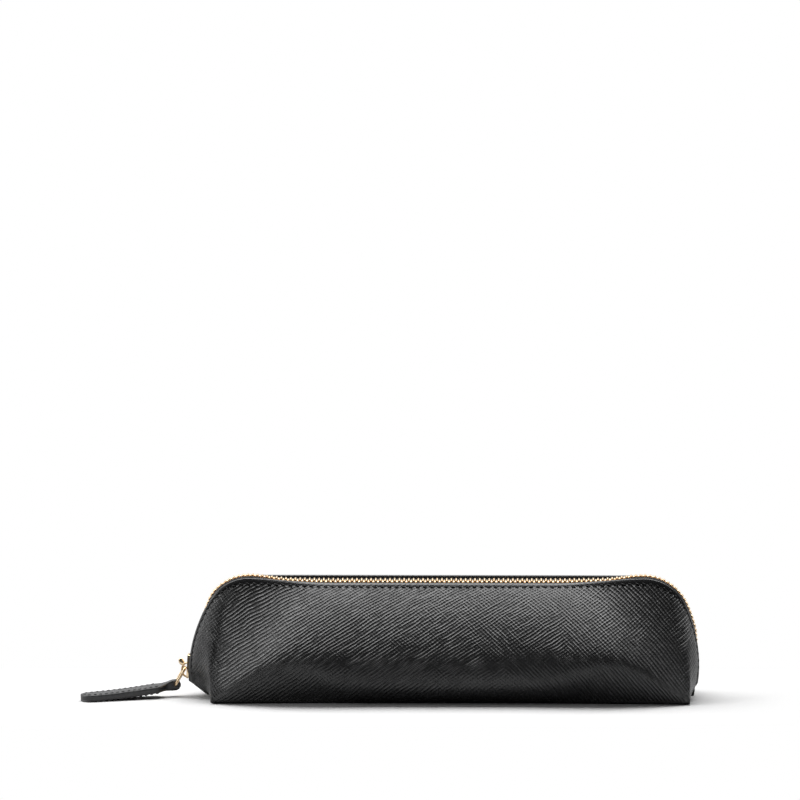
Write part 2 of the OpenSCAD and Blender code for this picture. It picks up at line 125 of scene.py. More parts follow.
def archLean(s):
    # Straight on top, then one arc round the corner and a wider one down the end.
    # The angle is the arc's length over its radius.
    end, a = endOf(s), np.abs(s)
    past = a - straights[end]
    onSide = cornerTurns[end] + (past - cornerLens[end]) / sideRadius
    lean = np.where(past <= 0, 0, np.where(past <= cornerLens[end], past / cornerRadius, onSide))
    return np.sign(s) * lean


def archPoint(s, deep=0.0):
    # x and z on the zip's line at length s from the top centre, "deep" towards the inside.
    end, a = endOf(s), np.abs(s)
    t, past = np.abs(archLean(s)), a - straights[end]
    rc, rs = cornerRadius - deep, sideRadius - deep
    top, corner = past <= 0, past <= cornerLens[end]
    roundX = np.where(corner, straights[end] + rc * np.sin(t), sideXs[end] + rs * np.sin(t))
    roundZ = np.where(corner, cornerZ + rc * np.cos(t), sideZs[end] + rs * np.cos(t))
    x = np.where(top, a, roundX)
    z = np.where(top, case["height"] - deep, roundZ)
    return np.where(np.asarray(s) < 0, -x, x) - case["sway"], z


def halfWidthAt(x):
    # Half the base's width: it flares towards the corners with the square of the distance.
    return case["baseWidth"] / 2 + case["cornerFlare"] / 2 * np.clip(np.abs(x) / halfBase, 0, 1) ** 2


def overRun(distance, run):
    # From 0 to 1 over a run, given as where it starts and how long it takes.
    return smooth((distance - run[0]) / run[1])


def ribPoint(u, v):
    # Front wall: u runs from -2 at the left end over 0 in the middle to 2; v from the base up to the zip.
    # Each rib is a cubic curve with two handles that point at a knee, the widest place of the belly.
    # Near the corners the lower handle weighs more, which folds the leather into a crease.
    end, r, sign = endOf(u), np.abs(u), np.sign(u)
    e = np.clip(r - 1, 0, 1)
    front = r <= 1
    s = np.where(front, r * ridges[end], ridges[end] + e * (archLens[end] - ridges[end]))
    hx, hz = archPoint(sign * s)
    fx = np.where(front, r * halfBase, halfBase + case["endBow"] * np.sin(e * math.pi / 2))
    sideY = halfWidthAt(fx)
    fy = -np.where(front, sideY, sideY * (1 - e) + halfSlot * e)
    fz = case["footHeight"]
    fromEnd = halfBase - fx
    d = ease(fromEnd / case["kneeRun"])
    rise = case["endKnee"] * np.sin(math.pi * e ** 0.75)
    reach = np.minimum(1, rise / (hz - fz))
    fx = sign * fx
    kx = np.where(front, fx, fx + (hx - fx) * reach + sign * case["endBelly"] * np.sin(math.pi * e))
    puffed = fy * (1 + case["endPuff"] * smooth(e / case["endFade"]))
    ky = np.where(front, fy - case["belly"] * d, puffed - case["endFlare"] * e * e)
    raised = 1 + case["creaseRise"] * (1 - overRun(fromEnd, case["creaseRiseRun"]))
    kz = fz + np.where(front, (case["bellyHeight"] - fz) * d * raised, rise)
    pull = np.where(front, case["frontPull"], case["endPull"])
    p0 = np.stack([fx, fy, np.full_like(fx, fz)], -1)
    knee = np.stack([kx, ky, kz], -1)
    p3 = np.stack([hx, np.full_like(hx, -halfSlot), hz], -1)
    # Away from the ends the soft wall bulges a little beyond its cut.
    knee[..., 1] -= case["bulge"] * overRun(fromEnd, case["bulgeRun"])
    p1 = p0 + case["lowPull"] * (knee - p0)
    # Away from the corners the lower handle sits lower, so that the wall turns under in a full round.
    p1[..., 2] -= (p1[..., 2] - fz) * case["fullLow"] * overRun(fromEnd, case["fullLowRun"])
    p2 = p3 + pull[..., None] * (knee - p3)
    t = v[..., None]
    w = 1 - t
    folded = np.where(front, 1 - fromEnd / case["creaseRun"], 1 - e / case["endFade"])
    fold = (1 + case["creasePull"] * smooth(folded))[..., None]
    total = w ** 3 + 3 * w * w * t * fold + 3 * w * t * t + t ** 3
    return (w ** 3 * p0 + 3 * w * w * t * fold * p1 + 3 * w * t * t * p2 + t ** 3 * p3) / total


def wallPoint(u, v):
    # The ridge between front and end is sharp at the base's corner and round above it.
    # Each point is a weighted mean over nearby ribs.
    u, v = np.broadcast_arrays(np.asarray(u, float), np.asarray(v, float))
    spread = case["ridgeRound"] * np.sin(math.pi * np.clip(v, 0, 1) ** 0.75)
    spread = np.minimum(spread, 2 - np.abs(u))
    offsets = np.linspace(-1, 1, 7)
    weights = np.cos(offsets * math.pi / 2 * 0.9)
    return sum(k * ribPoint(u + o * spread, v) for k, o in zip(weights / weights.sum(), offsets))


def wallNormal(u, v):
    # Cross product of the two tangents, outwards.
    step = 0.01
    along = wallPoint(np.minimum(u + step, 2), v) - wallPoint(np.maximum(u - step, -2), v)
    up = wallPoint(u, np.minimum(v + step, 1)) - wallPoint(u, np.maximum(v - step, 0))
    return unit(np.cross(along, up))


def wallU(s):
    # The rib that meets the zip at length s.
    end, a = endOf(s), np.abs(s)
    ridge = ridges[end]
    return np.sign(s) * np.where(a <= ridge, a / ridge, 1 + (a - ridge) / (archLens[end] - ridge))


def gridQuads(rows, cols, loop=False):
    # Quads between neighbouring points of a grid that is stored row after row.
    # A loop joins the last column to the first.
    i = np.arange(rows - 1)[:, None]
    j = np.arange(cols if loop else cols - 1)[None, :]
    k = (j + 1) % cols
    quads = np.stack([i * cols + j, (i + 1) * cols + j, (i + 1) * cols + k, i * cols + k], -1)
    return quads.reshape(-1, 4)


def ringFaces(rings, joined=False):
    # Quads between closed rings, then one face on each end ring.
    # Unless they are joined, the end faces have points of their own: a flat cut doesn't shade the skin beside it.
    rows, cols = rings.shape[:2]
    around = [list(f) for f in gridQuads(rows, cols, loop=True)]
    if joined:
        first, last = list(range(cols)), list(range((rows - 1) * cols, rows * cols))
        return rings.reshape(-1, 3), around + [first[::-1], last]
    own = rows * cols
    points = np.concatenate([rings.reshape(-1, 3), rings[0], rings[-1]])
    return points, around + [list(range(own, own + cols))[::-1], list(range(own + cols, own + 2 * cols))]


def withEnds(values):
    # Values for each ring point, repeated for the two end faces as in ringFaces.
    return np.concatenate([values.reshape(-1, *values.shape[2:]), values[0], values[-1]])


def cutInThrees(points, faces):
    # The three corners of every triangle, each face cut into a fan.
    points = np.asarray(points, float).reshape(-1, 3)
    fans = np.array([(f[0], f[k], f[k + 1]) for f in faces for k in range(1, len(f) - 1)])
    return points[fans[:, 0]], points[fans[:, 1]], points[fans[:, 2]]


def facingOut(points, faces):
    # The sum of triple products over all faces is six volumes: where it is negative the faces are turned over.
    a, b, c = cutInThrees(points, faces)
    outwards = np.einsum("ij,ij->i", a, np.cross(b, c)).sum() > 0
    return faces if outwards else [list(f)[::-1] for f in faces]


def makePiece(name, points, faces, material, uv=None, masks=None):
    # Points and faces into an object at the origin; uv and masks are one value for each point.
    points = np.asarray(points, float).reshape(-1, 3)
    faces = facingOut(points, faces)
    mesh = bpy.data.meshes.new(name)
    mesh.from_pydata(points.tolist(), [], [list(map(int, f)) for f in faces])
    if uv is not None:
        corner = np.empty(len(mesh.loops), np.int32)
        mesh.loops.foreach_get("vertex_index", corner)
        layer = mesh.uv_layers.new(name="grainMap")
        layer.data.foreach_set("uv", np.asarray(uv, np.float32).reshape(-1, 2)[corner].ravel())
    for label, values in (masks or {}).items():
        layer = mesh.attributes.new(label, "FLOAT", "POINT")
        layer.data.foreach_set("value", np.asarray(values, np.float32).ravel())
    mesh.polygons.foreach_set("use_smooth", np.ones(len(mesh.polygons), bool))
    mesh.materials.append(material)
    mesh.update()
    piece = bpy.data.objects.new(name, mesh)
    scene.collection.objects.link(piece)
    return piece


def repeated(shape, faces, places, axes):
    # One small shape at many places: each place plus the shape's own x, y, z times three axes.
    world = places[:, None, :] + np.einsum("pk,nkc->npc", shape, axes)
    count = len(shape)
    every = [[k + i * count for k in f] for i in range(len(places)) for f in faces]
    return world.reshape(-1, 3), every


slump = {"drop": 2.1 * mm, "reach": 84 * mm, "fade": 40 * mm, "bottom": 34 * mm, "power": 1.7}


def settle(points):
    # The soft front edge hangs lower in the middle.
    # The drop is a product that fades to the ends, to the back edge and down the wall.
    x, y, z = points[..., 0], points[..., 1], points[..., 2]
    along = smooth((slump["reach"] - np.abs(x + case["sway"])) / slump["fade"])
    across = np.clip(0.5 - y / case["slot"], 0, 1)
    height = np.clip((z - slump["bottom"]) / (case["height"] - slump["bottom"]), 0, 1) ** slump["power"]
    drop = slump["drop"] * along * across * height
    return points - drop[..., None] * np.array([0, 0, 1])


def onWall(points, back):
    # The back is the front's mirror image before it settles.
    return settle(points * np.array([1, -1, 1]) if back else points)


def nodeTree(name):
    # A new material, its node tree and its main shader.
    material = bpy.data.materials.new(name)
    material.use_nodes = True
    return material, material.node_tree, material.node_tree.nodes["Principled BSDF"]


def addNode(tree, kind, settings=None, links=None):
    # A node with its properties, then its inputs: a value is set and a socket is linked.
    node = tree.nodes.new(kind)
    for key, value in (settings or {}).items():
        setattr(node, key, value)
    for key, value in (links or {}).items():
        if isinstance(value, bpy.types.NodeSocket):
            tree.links.new(value, node.inputs[key])
        else:
            node.inputs[key].default_value = value
    return node


def mathNode(tree, operation, a, b=0.0, c=0.0):
    # One calculation on up to three values.
    return addNode(tree, "ShaderNodeMath", {"operation": operation}, {0: a, 1: b, 2: c}).outputs[0]


def mapRange(tree, value, low, high, toLow=0.0, toHigh=1.0, kind="SMOOTHSTEP"):
    # A value between low and high brought between two others, with slow ends or straight.
    node = addNode(tree, "ShaderNodeMapRange", {"interpolation_type": kind},
                   {"Value": value, "From Min": low, "From Max": high, "To Min": toLow, "To Max": toHigh})
    return node.outputs["Result"]


def noiseAt(tree, vector, scale, detail=2.0):
    # Cloudy noise with "scale" cells to the metre.
    return addNode(tree, "ShaderNodeTexNoise", {}, {"Vector": vector, "Scale": scale, "Detail": detail})


def mixColour(tree, factor, a, b):
    # Colour a where the factor is 0, b where it is 1.
    node = addNode(tree, "ShaderNodeMix", {"data_type": "RGBA"})
    for index, value in ((0, factor), (6, a), (7, b)):
        if isinstance(value, bpy.types.NodeSocket):
            tree.links.new(value, node.inputs[index])
        else:
            node.inputs[index].default_value = value if index == 0 else (*value, 1)
    return node.outputs[2]


def newGroup(name, inputs, outputs):
    # An empty node group with its named inputs and outputs, and its two end nodes.
    group = bpy.data.node_groups.new(name, "ShaderNodeTree")
    for label, kind, value in inputs:
        socket = group.interface.new_socket(label, in_out="INPUT", socket_type=kind)
        if value is not None:
            socket.default_value = value
    for label, kind in outputs:
        group.interface.new_socket(label, in_out="OUTPUT", socket_type=kind)
    return group, group.nodes.new("NodeGroupInput"), group.nodes.new("NodeGroupOutput")


def crossGrainGroup():
    # Two crossing families of slanted ridges, a folded ramp across each, broken up by noise along the ridge.
    # Slow noise lets one family, then the other, stand higher.
    group, start, end = newGroup(
        "crossGrain",
        [("Vector", "NodeSocketVector", None),
         ("Pitch", "NodeSocketFloat", 0.0009),
         ("Rising", "NodeSocketFloat", 0.6),
         ("Falling", "NodeSocketFloat", 0.8),
         ("Wander", "NodeSocketFloat", 0.5),
         ("Bias", "NodeSocketFloat", 0.0)],
        [("Height", "NodeSocketFloat"), ("ValleyShade", "NodeSocketFloat")])
    xy = addNode(group, "ShaderNodeSeparateXYZ", {}, {0: start.outputs["Vector"]})
    bend = noiseAt(group, start.outputs["Vector"], 110, 2.0)
    patch = noiseAt(group, start.outputs["Vector"], 55, 2.0)
    drift = mathNode(group, "MULTIPLY", mathNode(group, "SUBTRACT", bend.outputs[0], 0.5), start.outputs["Wander"])
    leading = mathNode(group, "ADD", patch.outputs[0], start.outputs["Bias"])
    ridges = []
    for side, slope in ((1, "Rising"), (-1, "Falling")):
        cosine = mathNode(group, "COSINE", start.outputs[slope])
        sine = mathNode(group, "SINE", start.outputs[slope])
        lean = mathNode(group, "MULTIPLY", mathNode(group, "MULTIPLY", xy.outputs["X"], sine), side)
        across = mathNode(group, "SUBTRACT", mathNode(group, "MULTIPLY", xy.outputs["Y"], cosine), lean)
        rise = mathNode(group, "MULTIPLY", mathNode(group, "MULTIPLY", xy.outputs["Y"], sine), side)
        along = mathNode(group, "ADD", mathNode(group, "MULTIPLY", xy.outputs["X"], cosine), rise)
        count = mathNode(group, "ADD", mathNode(group, "DIVIDE", across, start.outputs["Pitch"]),
                         mathNode(group, "MULTIPLY", drift, 3.0 + side * 0.6))
        fold = mathNode(group, "MULTIPLY", mathNode(group, "PINGPONG", count, 0.5), 2.0)
        # Noise cells stretched along the ridge, other ones for each family.
        cell = addNode(group, "ShaderNodeCombineXYZ", {}, {
            0: mathNode(group, "MULTIPLY", along, 190.0),
            1: mathNode(group, "MULTIPLY", count, 0.8),
            2: 3.0 * side})
        broken = noiseAt(group, cell.outputs[0], 1.0, 1.5)
        ridge = mapRange(group, fold, 0.12, 0.92)
        gain = mapRange(group, broken.outputs[0], 0.30, 0.62, 0.40, 1.0)
        share = mapRange(group, leading, 0.5 - 0.16 * side, 0.5 + 0.16 * side, 0.38, 1.0, "LINEAR")
        ridges.append(mathNode(group, "MULTIPLY", mathNode(group, "MULTIPLY", ridge, gain), share))
    top = mathNode(group, "MAXIMUM", ridges[0], ridges[1])
    height = mathNode(group, "MULTIPLY_ADD", mathNode(group, "ADD", ridges[0], ridges[1]), 0.32,
                      mathNode(group, "MULTIPLY", top, 0.5))
    group.links.new(height, end.inputs["Height"])
    # The second output is a painted shade mask: 1 in the hollows between the ridges.
    group.links.new(mapRange(group, height, 0.55, 0.08), end.inputs["ValleyShade"])
    return group


def plainWeaveGroup():
    # Warp and weft as two crossed folded ramps; their product is the thread on top. The colour mask is that product
    # times slow noise: painted shade in the gaps, random tone on top.
    group, start, end = newGroup(
        "plainWeave",
        [("Vector", "NodeSocketVector", None), ("Pitch", "NodeSocketFloat", 0.0005)],
        [("Thread", "NodeSocketFloat"), ("GapShadeAndSlub", "NodeSocketFloat")])
    xy = addNode(group, "ShaderNodeSeparateXYZ", {}, {0: start.outputs["Vector"]})
    threads = []
    for axis in ("X", "Y"):
        fold = mathNode(group, "PINGPONG", mathNode(group, "DIVIDE", xy.outputs[axis], start.outputs["Pitch"]), 0.5)
        threads.append(mapRange(group, fold, 0.03, 0.42))
    over = mathNode(group, "MULTIPLY", threads[0], threads[1])
    slubScale = mathNode(group, "DIVIDE", 0.35, start.outputs["Pitch"])
    slub = noiseAt(group, start.outputs["Vector"], slubScale, 2.0)
    gapShadeAndSlub = mathNode(group, "MULTIPLY", over, mapRange(group, slub.outputs[0], 0.3, 0.7, 0.55, 1.0, "LINEAR"))
    group.links.new(over, end.inputs["Thread"])
    group.links.new(gapShadeAndSlub, end.inputs["GapShadeAndSlub"])
    return group


def platingWearGroup():
    # Fine scratches drawn along one way are stretched noise; soft patches of slower noise are tarnish and painted
    # shade together.
    group, start, end = newGroup(
        "platingWear",
        [("Vector", "NodeSocketVector", None)],
        [("Scratch", "NodeSocketFloat"), ("TarnishAndShade", "NodeSocketFloat")])
    place = start.outputs["Vector"]
    drawn = addNode(group, "ShaderNodeMapping", {}, {"Vector": place, "Scale": (1.0, 7.0, 1.0)})
    scratch = noiseAt(group, drawn.outputs[0], 1800, 3.0)
    patch = noiseAt(group, place, 420, 2.0)
    group.links.new(scratch.outputs[0], end.inputs["Scratch"])
    group.links.new(mapRange(group, patch.outputs[0], 0.42, 0.72), end.inputs["TarnishAndShade"])
    return group


crossGrain = crossGrainGroup()
plainWeave = plainWeaveGroup()
platingWear = platingWearGroup()


def useGroup(tree, group, links):
    # A node that holds the group, with this material's own values.
    return addNode(tree, "ShaderNodeGroup", {"node_tree": group}, links)


leatherLook = {
    "colour": (0.0095, 0.0098, 0.0108),
    # The second colour is painted shade for the grain's hollows.
    "valleyShade": (0.0030, 0.0032, 0.0038),
    "pitch": 1.26 * mm,
    "rising": math.radians(34),
    "falling": math.radians(46),
    "wander": 0.30,
    "depth": 0.30 * mm,
    "roughness": 0.30,
    "shine": 0.95,
}


def grainedLeather(name, depth, roughness):
    # Near-black leather pressed with a cross grain; a turned or painted edge is pressed almost smooth. The grain's
    # hollows get a darker colour: painted shade.
    material, tree, shader = nodeTree(name)
    uv = addNode(tree, "ShaderNodeUVMap", {"uv_map": "grainMap"}).outputs[0]
    edge = addNode(tree, "ShaderNodeAttribute", {"attribute_name": "smoothEdge"}).outputs["Fac"]
    bias = addNode(tree, "ShaderNodeAttribute", {"attribute_name": "grainBias"}).outputs["Fac"]
    grain = useGroup(tree, crossGrain, {
        "Vector": uv, "Pitch": leatherLook["pitch"], "Rising": leatherLook["rising"],
        "Falling": leatherLook["falling"], "Wander": leatherLook["wander"], "Bias": bias})
    slow = noiseAt(tree, uv, 90, 3.0)
    fine = noiseAt(tree, uv, 2400, 2.0)
    pressed = mapRange(tree, edge, 0.0, 1.0, 1.0, 0.16, "LINEAR")
    grained = mathNode(tree, "MULTIPLY", grain.outputs["Height"], pressed)
    height = mathNode(tree, "MULTIPLY_ADD", fine.outputs[0], 0.10, grained)
    bump = addNode(tree, "ShaderNodeBump", {}, {"Strength": 1.0, "Distance": depth, "Height": height})
    # Painted shade: the hollows take the darker colour, and smooth edges take less of it.
    deep = mathNode(tree, "MULTIPLY", grain.outputs["ValleyShade"], mapRange(tree, edge, 0.0, 1.0, 1.0, 0.2, "LINEAR"))
    worn = mapRange(tree, slow.outputs[0], 0.3, 0.7, -0.03, 0.05, "LINEAR")
    rough = mathNode(tree, "ADD", worn, mathNode(tree, "MULTIPLY_ADD", deep, 0.25, roughness))
    shader.inputs["Specular IOR Level"].default_value = leatherLook["shine"]
    tree.links.new(mixColour(tree, deep, leatherLook["colour"], leatherLook["valleyShade"]), shader.inputs["Base Color"])
    tree.links.new(rough, shader.inputs["Roughness"])
    tree.links.new(bump.outputs[0], shader.inputs["Normal"])
    return material


def wovenCloth(name, light, dark, pitch, lean, depth):
    # The weave turned to its lean: painted shade darkens the gaps between the threads, and the thread tops keep the
    # light colour.
    material, tree, shader = nodeTree(name)
    uv = addNode(tree, "ShaderNodeUVMap", {"uv_map": "grainMap"}).outputs[0]
    turned = addNode(tree, "ShaderNodeMapping", {}, {"Vector": uv, "Rotation": (0, 0, lean)})
    weave = useGroup(tree, plainWeave, {"Vector": turned.outputs[0], "Pitch": pitch})
    gapShadeAndSlub = weave.outputs["GapShadeAndSlub"]
    bump = addNode(tree, "ShaderNodeBump", {},
                   {"Strength": 0.8, "Distance": depth, "Height": weave.outputs["Thread"]})
    tree.links.new(mixColour(tree, gapShadeAndSlub, dark, light), shader.inputs["Base Color"])
    tree.links.new(mapRange(tree, gapShadeAndSlub, 0.0, 1.0, 0.95, 0.75, "LINEAR"), shader.inputs["Roughness"])
    tree.links.new(bump.outputs[0], shader.inputs["Normal"])
    shader.inputs["Sheen Weight"].default_value = 0.15
    return material


def twistedThread(name, colour, dark):
    # Plies wind round the thread: a slanted wave of its own map. The grooves between the plies take the darker
    # colour as painted shade.
    material, tree, shader = nodeTree(name)
    uv = addNode(tree, "ShaderNodeUVMap", {"uv_map": "grainMap"}).outputs[0]
    xy = addNode(tree, "ShaderNodeSeparateXYZ", {}, {0: uv})
    along = mathNode(tree, "MULTIPLY", xy.outputs["X"], 2200)
    about = mathNode(tree, "MULTIPLY", xy.outputs["Y"], 2.0)
    twist = mathNode(tree, "PINGPONG", mathNode(tree, "ADD", along, about), 0.5)
    ply = mapRange(tree, twist, 0.02, 0.35)
    bump = addNode(tree, "ShaderNodeBump", {}, {"Strength": 0.9, "Distance": 0.05 * mm, "Height": ply})
    tree.links.new(mixColour(tree, ply, dark, colour), shader.inputs["Base Color"])
    tree.links.new(mapRange(tree, ply, 0.0, 1.0, 0.8, 0.5, "LINEAR"), shader.inputs["Roughness"])
    tree.links.new(bump.outputs[0], shader.inputs["Normal"])
    return material


def platedMetal(name, colour, shadow, roughness):
    # Thin plating: the scratches are dents and rough streaks; in soft patches the metal takes its shadow colour,
    # painted shade, and is rougher as tarnish.
    material, tree, shader = nodeTree(name)
    place = addNode(tree, "ShaderNodeTexCoord").outputs["Object"]
    wear = useGroup(tree, platingWear, {"Vector": place})
    scratch, tarnishAndShade = wear.outputs["Scratch"], wear.outputs["TarnishAndShade"]
    bump = addNode(tree, "ShaderNodeBump", {}, {"Strength": 0.12, "Distance": 0.02 * mm, "Height": scratch})
    scuffed = mapRange(tree, scratch, 0.3, 0.7, roughness - 0.04, roughness + 0.06, "LINEAR")
    rough = mathNode(tree, "ADD", scuffed, mathNode(tree, "MULTIPLY", tarnishAndShade, 0.08))
    tree.links.new(mixColour(tree, tarnishAndShade, colour, shadow), shader.inputs["Base Color"])
    tree.links.new(rough, shader.inputs["Roughness"])
    tree.links.new(bump.outputs[0], shader.inputs["Normal"])
    shader.inputs["Metallic"].default_value = 1.0
    return material


def pressedBoard(name):
    # Grey board of short pressed fibres.
    material, tree, shader = nodeTree(name)
    place = addNode(tree, "ShaderNodeTexCoord").outputs["Object"]
    drawn = addNode(tree, "ShaderNodeMapping", {}, {"Vector": place, "Scale": (1.0, 3.0, 3.0)})
    fibre = noiseAt(tree, drawn.outputs[0], 900, 4.0).outputs[0]
    bump = addNode(tree, "ShaderNodeBump", {}, {"Strength": 0.5, "Distance": 0.06 * mm, "Height": fibre})
    tree.links.new(mixColour(tree, fibre, (0.16, 0.15, 0.14), (0.30, 0.29, 0.27)), shader.inputs["Base Color"])
    tree.links.new(mapRange(tree, fibre, 0.3, 0.7, 0.85, 0.95, "LINEAR"), shader.inputs["Roughness"])
    tree.links.new(bump.outputs[0], shader.inputs["Normal"])
    return material


wallLeather = grainedLeather("wallLeather", leatherLook["depth"], leatherLook["roughness"])
tabLeather = grainedLeather("tabLeather", 0.12 * mm, 0.38)
# For each cloth the second colour is painted shade in the gaps between the threads.
liningCloth = wovenCloth("liningCloth", (0.050, 0.055, 0.072), (0.014, 0.016, 0.024), 0.42 * mm, 0.0, 0.06 * mm)
tapeCloth = wovenCloth("tapeCloth", (0.022, 0.022, 0.024), (0.006, 0.006, 0.007), 0.55 * mm,
                       math.radians(45), 0.08 * mm)
# The thread's second colour is painted shade in the grooves between its plies.
sewingThread = twistedThread("sewingThread", (0.012, 0.012, 0.013), (0.003, 0.003, 0.003))
# Each metal's second colour is a shaded copy of the first: painted shade, in soft patches.
goldPlate = platedMetal("goldPlate", (0.93, 0.74, 0.50), (0.82, 0.58, 0.34), 0.18)
springSteel = platedMetal("springSteel", (0.62, 0.62, 0.63), (0.50, 0.50, 0.50), 0.28)
greyBoard = pressedBoard("greyBoard")
print("materials mixed")

wallSkin = {
    "frontRibs": 110,
    "endRibs": 46,
    "rows": 60,
    "innerRows": 16,
    "rimSteps": 6,
    "hemSteps": 4,
    "hemRadius": 1.15 * mm,
    "stitchInset": 1.95 * mm,
    "bandLift": 0.16 * mm,
    "bandRun": 0.45 * mm,
    "grooveDepth": 0.28 * mm,
    "grooveWidth": 0.5 * mm,
    "dent": 0.30 * mm,
    "calmRun": 9 * mm,
    "dentRun": 6 * mm,
    "grainTwist": math.radians(4),
    "grainDraw": 0.25,
    "slopeShare": 0.25,
    "slopeRun": 0.45,
    "endShare": 0.45,
    "lowFade": (16 * mm, 14 * mm),
    "lowFrom": (10 * mm, 30 * mm),
    "lowShift": 0.15,
    "hemEdge": 0.3,
    "lipFlat": 0.8,
    "rimTop": 0.25 * mm,
    "rimEnd": 0.40 * mm,
    "rimRun": (0.72, 0.32),
}
# Which family of ridges leads, rib by rib: above 0 the rising one, below 0 the falling one.
grainLead = {
    "ribs": (-2, -1.05, -0.93, -0.3, 0.1, 0.6, 0.95, 1.1, 2),
    "shift": (-0.25, -0.22, 0.18, 0.20, 0.08, -0.04, -0.14, 0.12, 0.22),
}


def bendWithWall(piece):
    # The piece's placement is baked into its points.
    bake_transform(piece)


def ribRuns(u):
    # Distance down each rib from the zip's line at even steps: summed steps of a fine polyline.
    fine = np.linspace(0, 1, 301)
    step = np.linalg.norm(np.diff(wallPoint(u[:, None], fine[None, :]), axis=1), axis=-1)
    run = np.concatenate([np.zeros((len(u), 1)), np.cumsum(step, axis=1)], axis=1)
    return fine, run[:, -1:] - run


def fromZip(u, rows):
    # Distance from the zip's line for every point of a grid; rows are heights v, one list for each rib or for all.
    fine, run = ribRuns(u)
    rows = np.broadcast_to(rows, (len(u), np.shape(rows)[-1]))
    return np.stack([np.interp(rows[i], fine, run[i]) for i in range(len(u))])


def rimBack(u):
    # How far the leather's edge stays away from the zip's line: a little on top, more down the ends.
    return wallSkin["rimTop"] + (wallSkin["rimEnd"] - wallSkin["rimTop"]) * overRun(np.abs(u), wallSkin["rimRun"])


def heightAt(u, distance):
    # The height v on each rib at a distance from the zip's line.
    fine, run = ribRuns(u)
    return np.array([np.interp(-distance[i], -run[i], fine) for i in range(len(u))])


def wallRelief(v, down, x):
    # Raised turned edge, the groove that the thread pulls in, and slow dents of soft leather.
    # The dents are two products of waves whose lengths have no common measure.
    inset = wallSkin["stitchInset"]
    band = smooth((inset * 1.12 - down) / wallSkin["bandRun"])
    groove = np.exp(-((down - inset) / wallSkin["grooveWidth"]) ** 2)
    calm = 1 - np.exp(-(x / wallSkin["calmRun"]) ** 2)
    wave = (np.sin(x * 71 + 1.3 + 2.1 * v) * np.sin(3.1 * v + 0.6 + x * 23)
            + 0.6 * np.sin(x * 137 - 3.3 * v + 2.0) * np.sin(4.7 * v + 1.1))
    fade = smooth(down / wallSkin["dentRun"]) * smooth(v / 0.12)
    lift = wallSkin["bandLift"] * band - wallSkin["grooveDepth"] * groove + wallSkin["dent"] * wave * calm * fade
    return lift, band


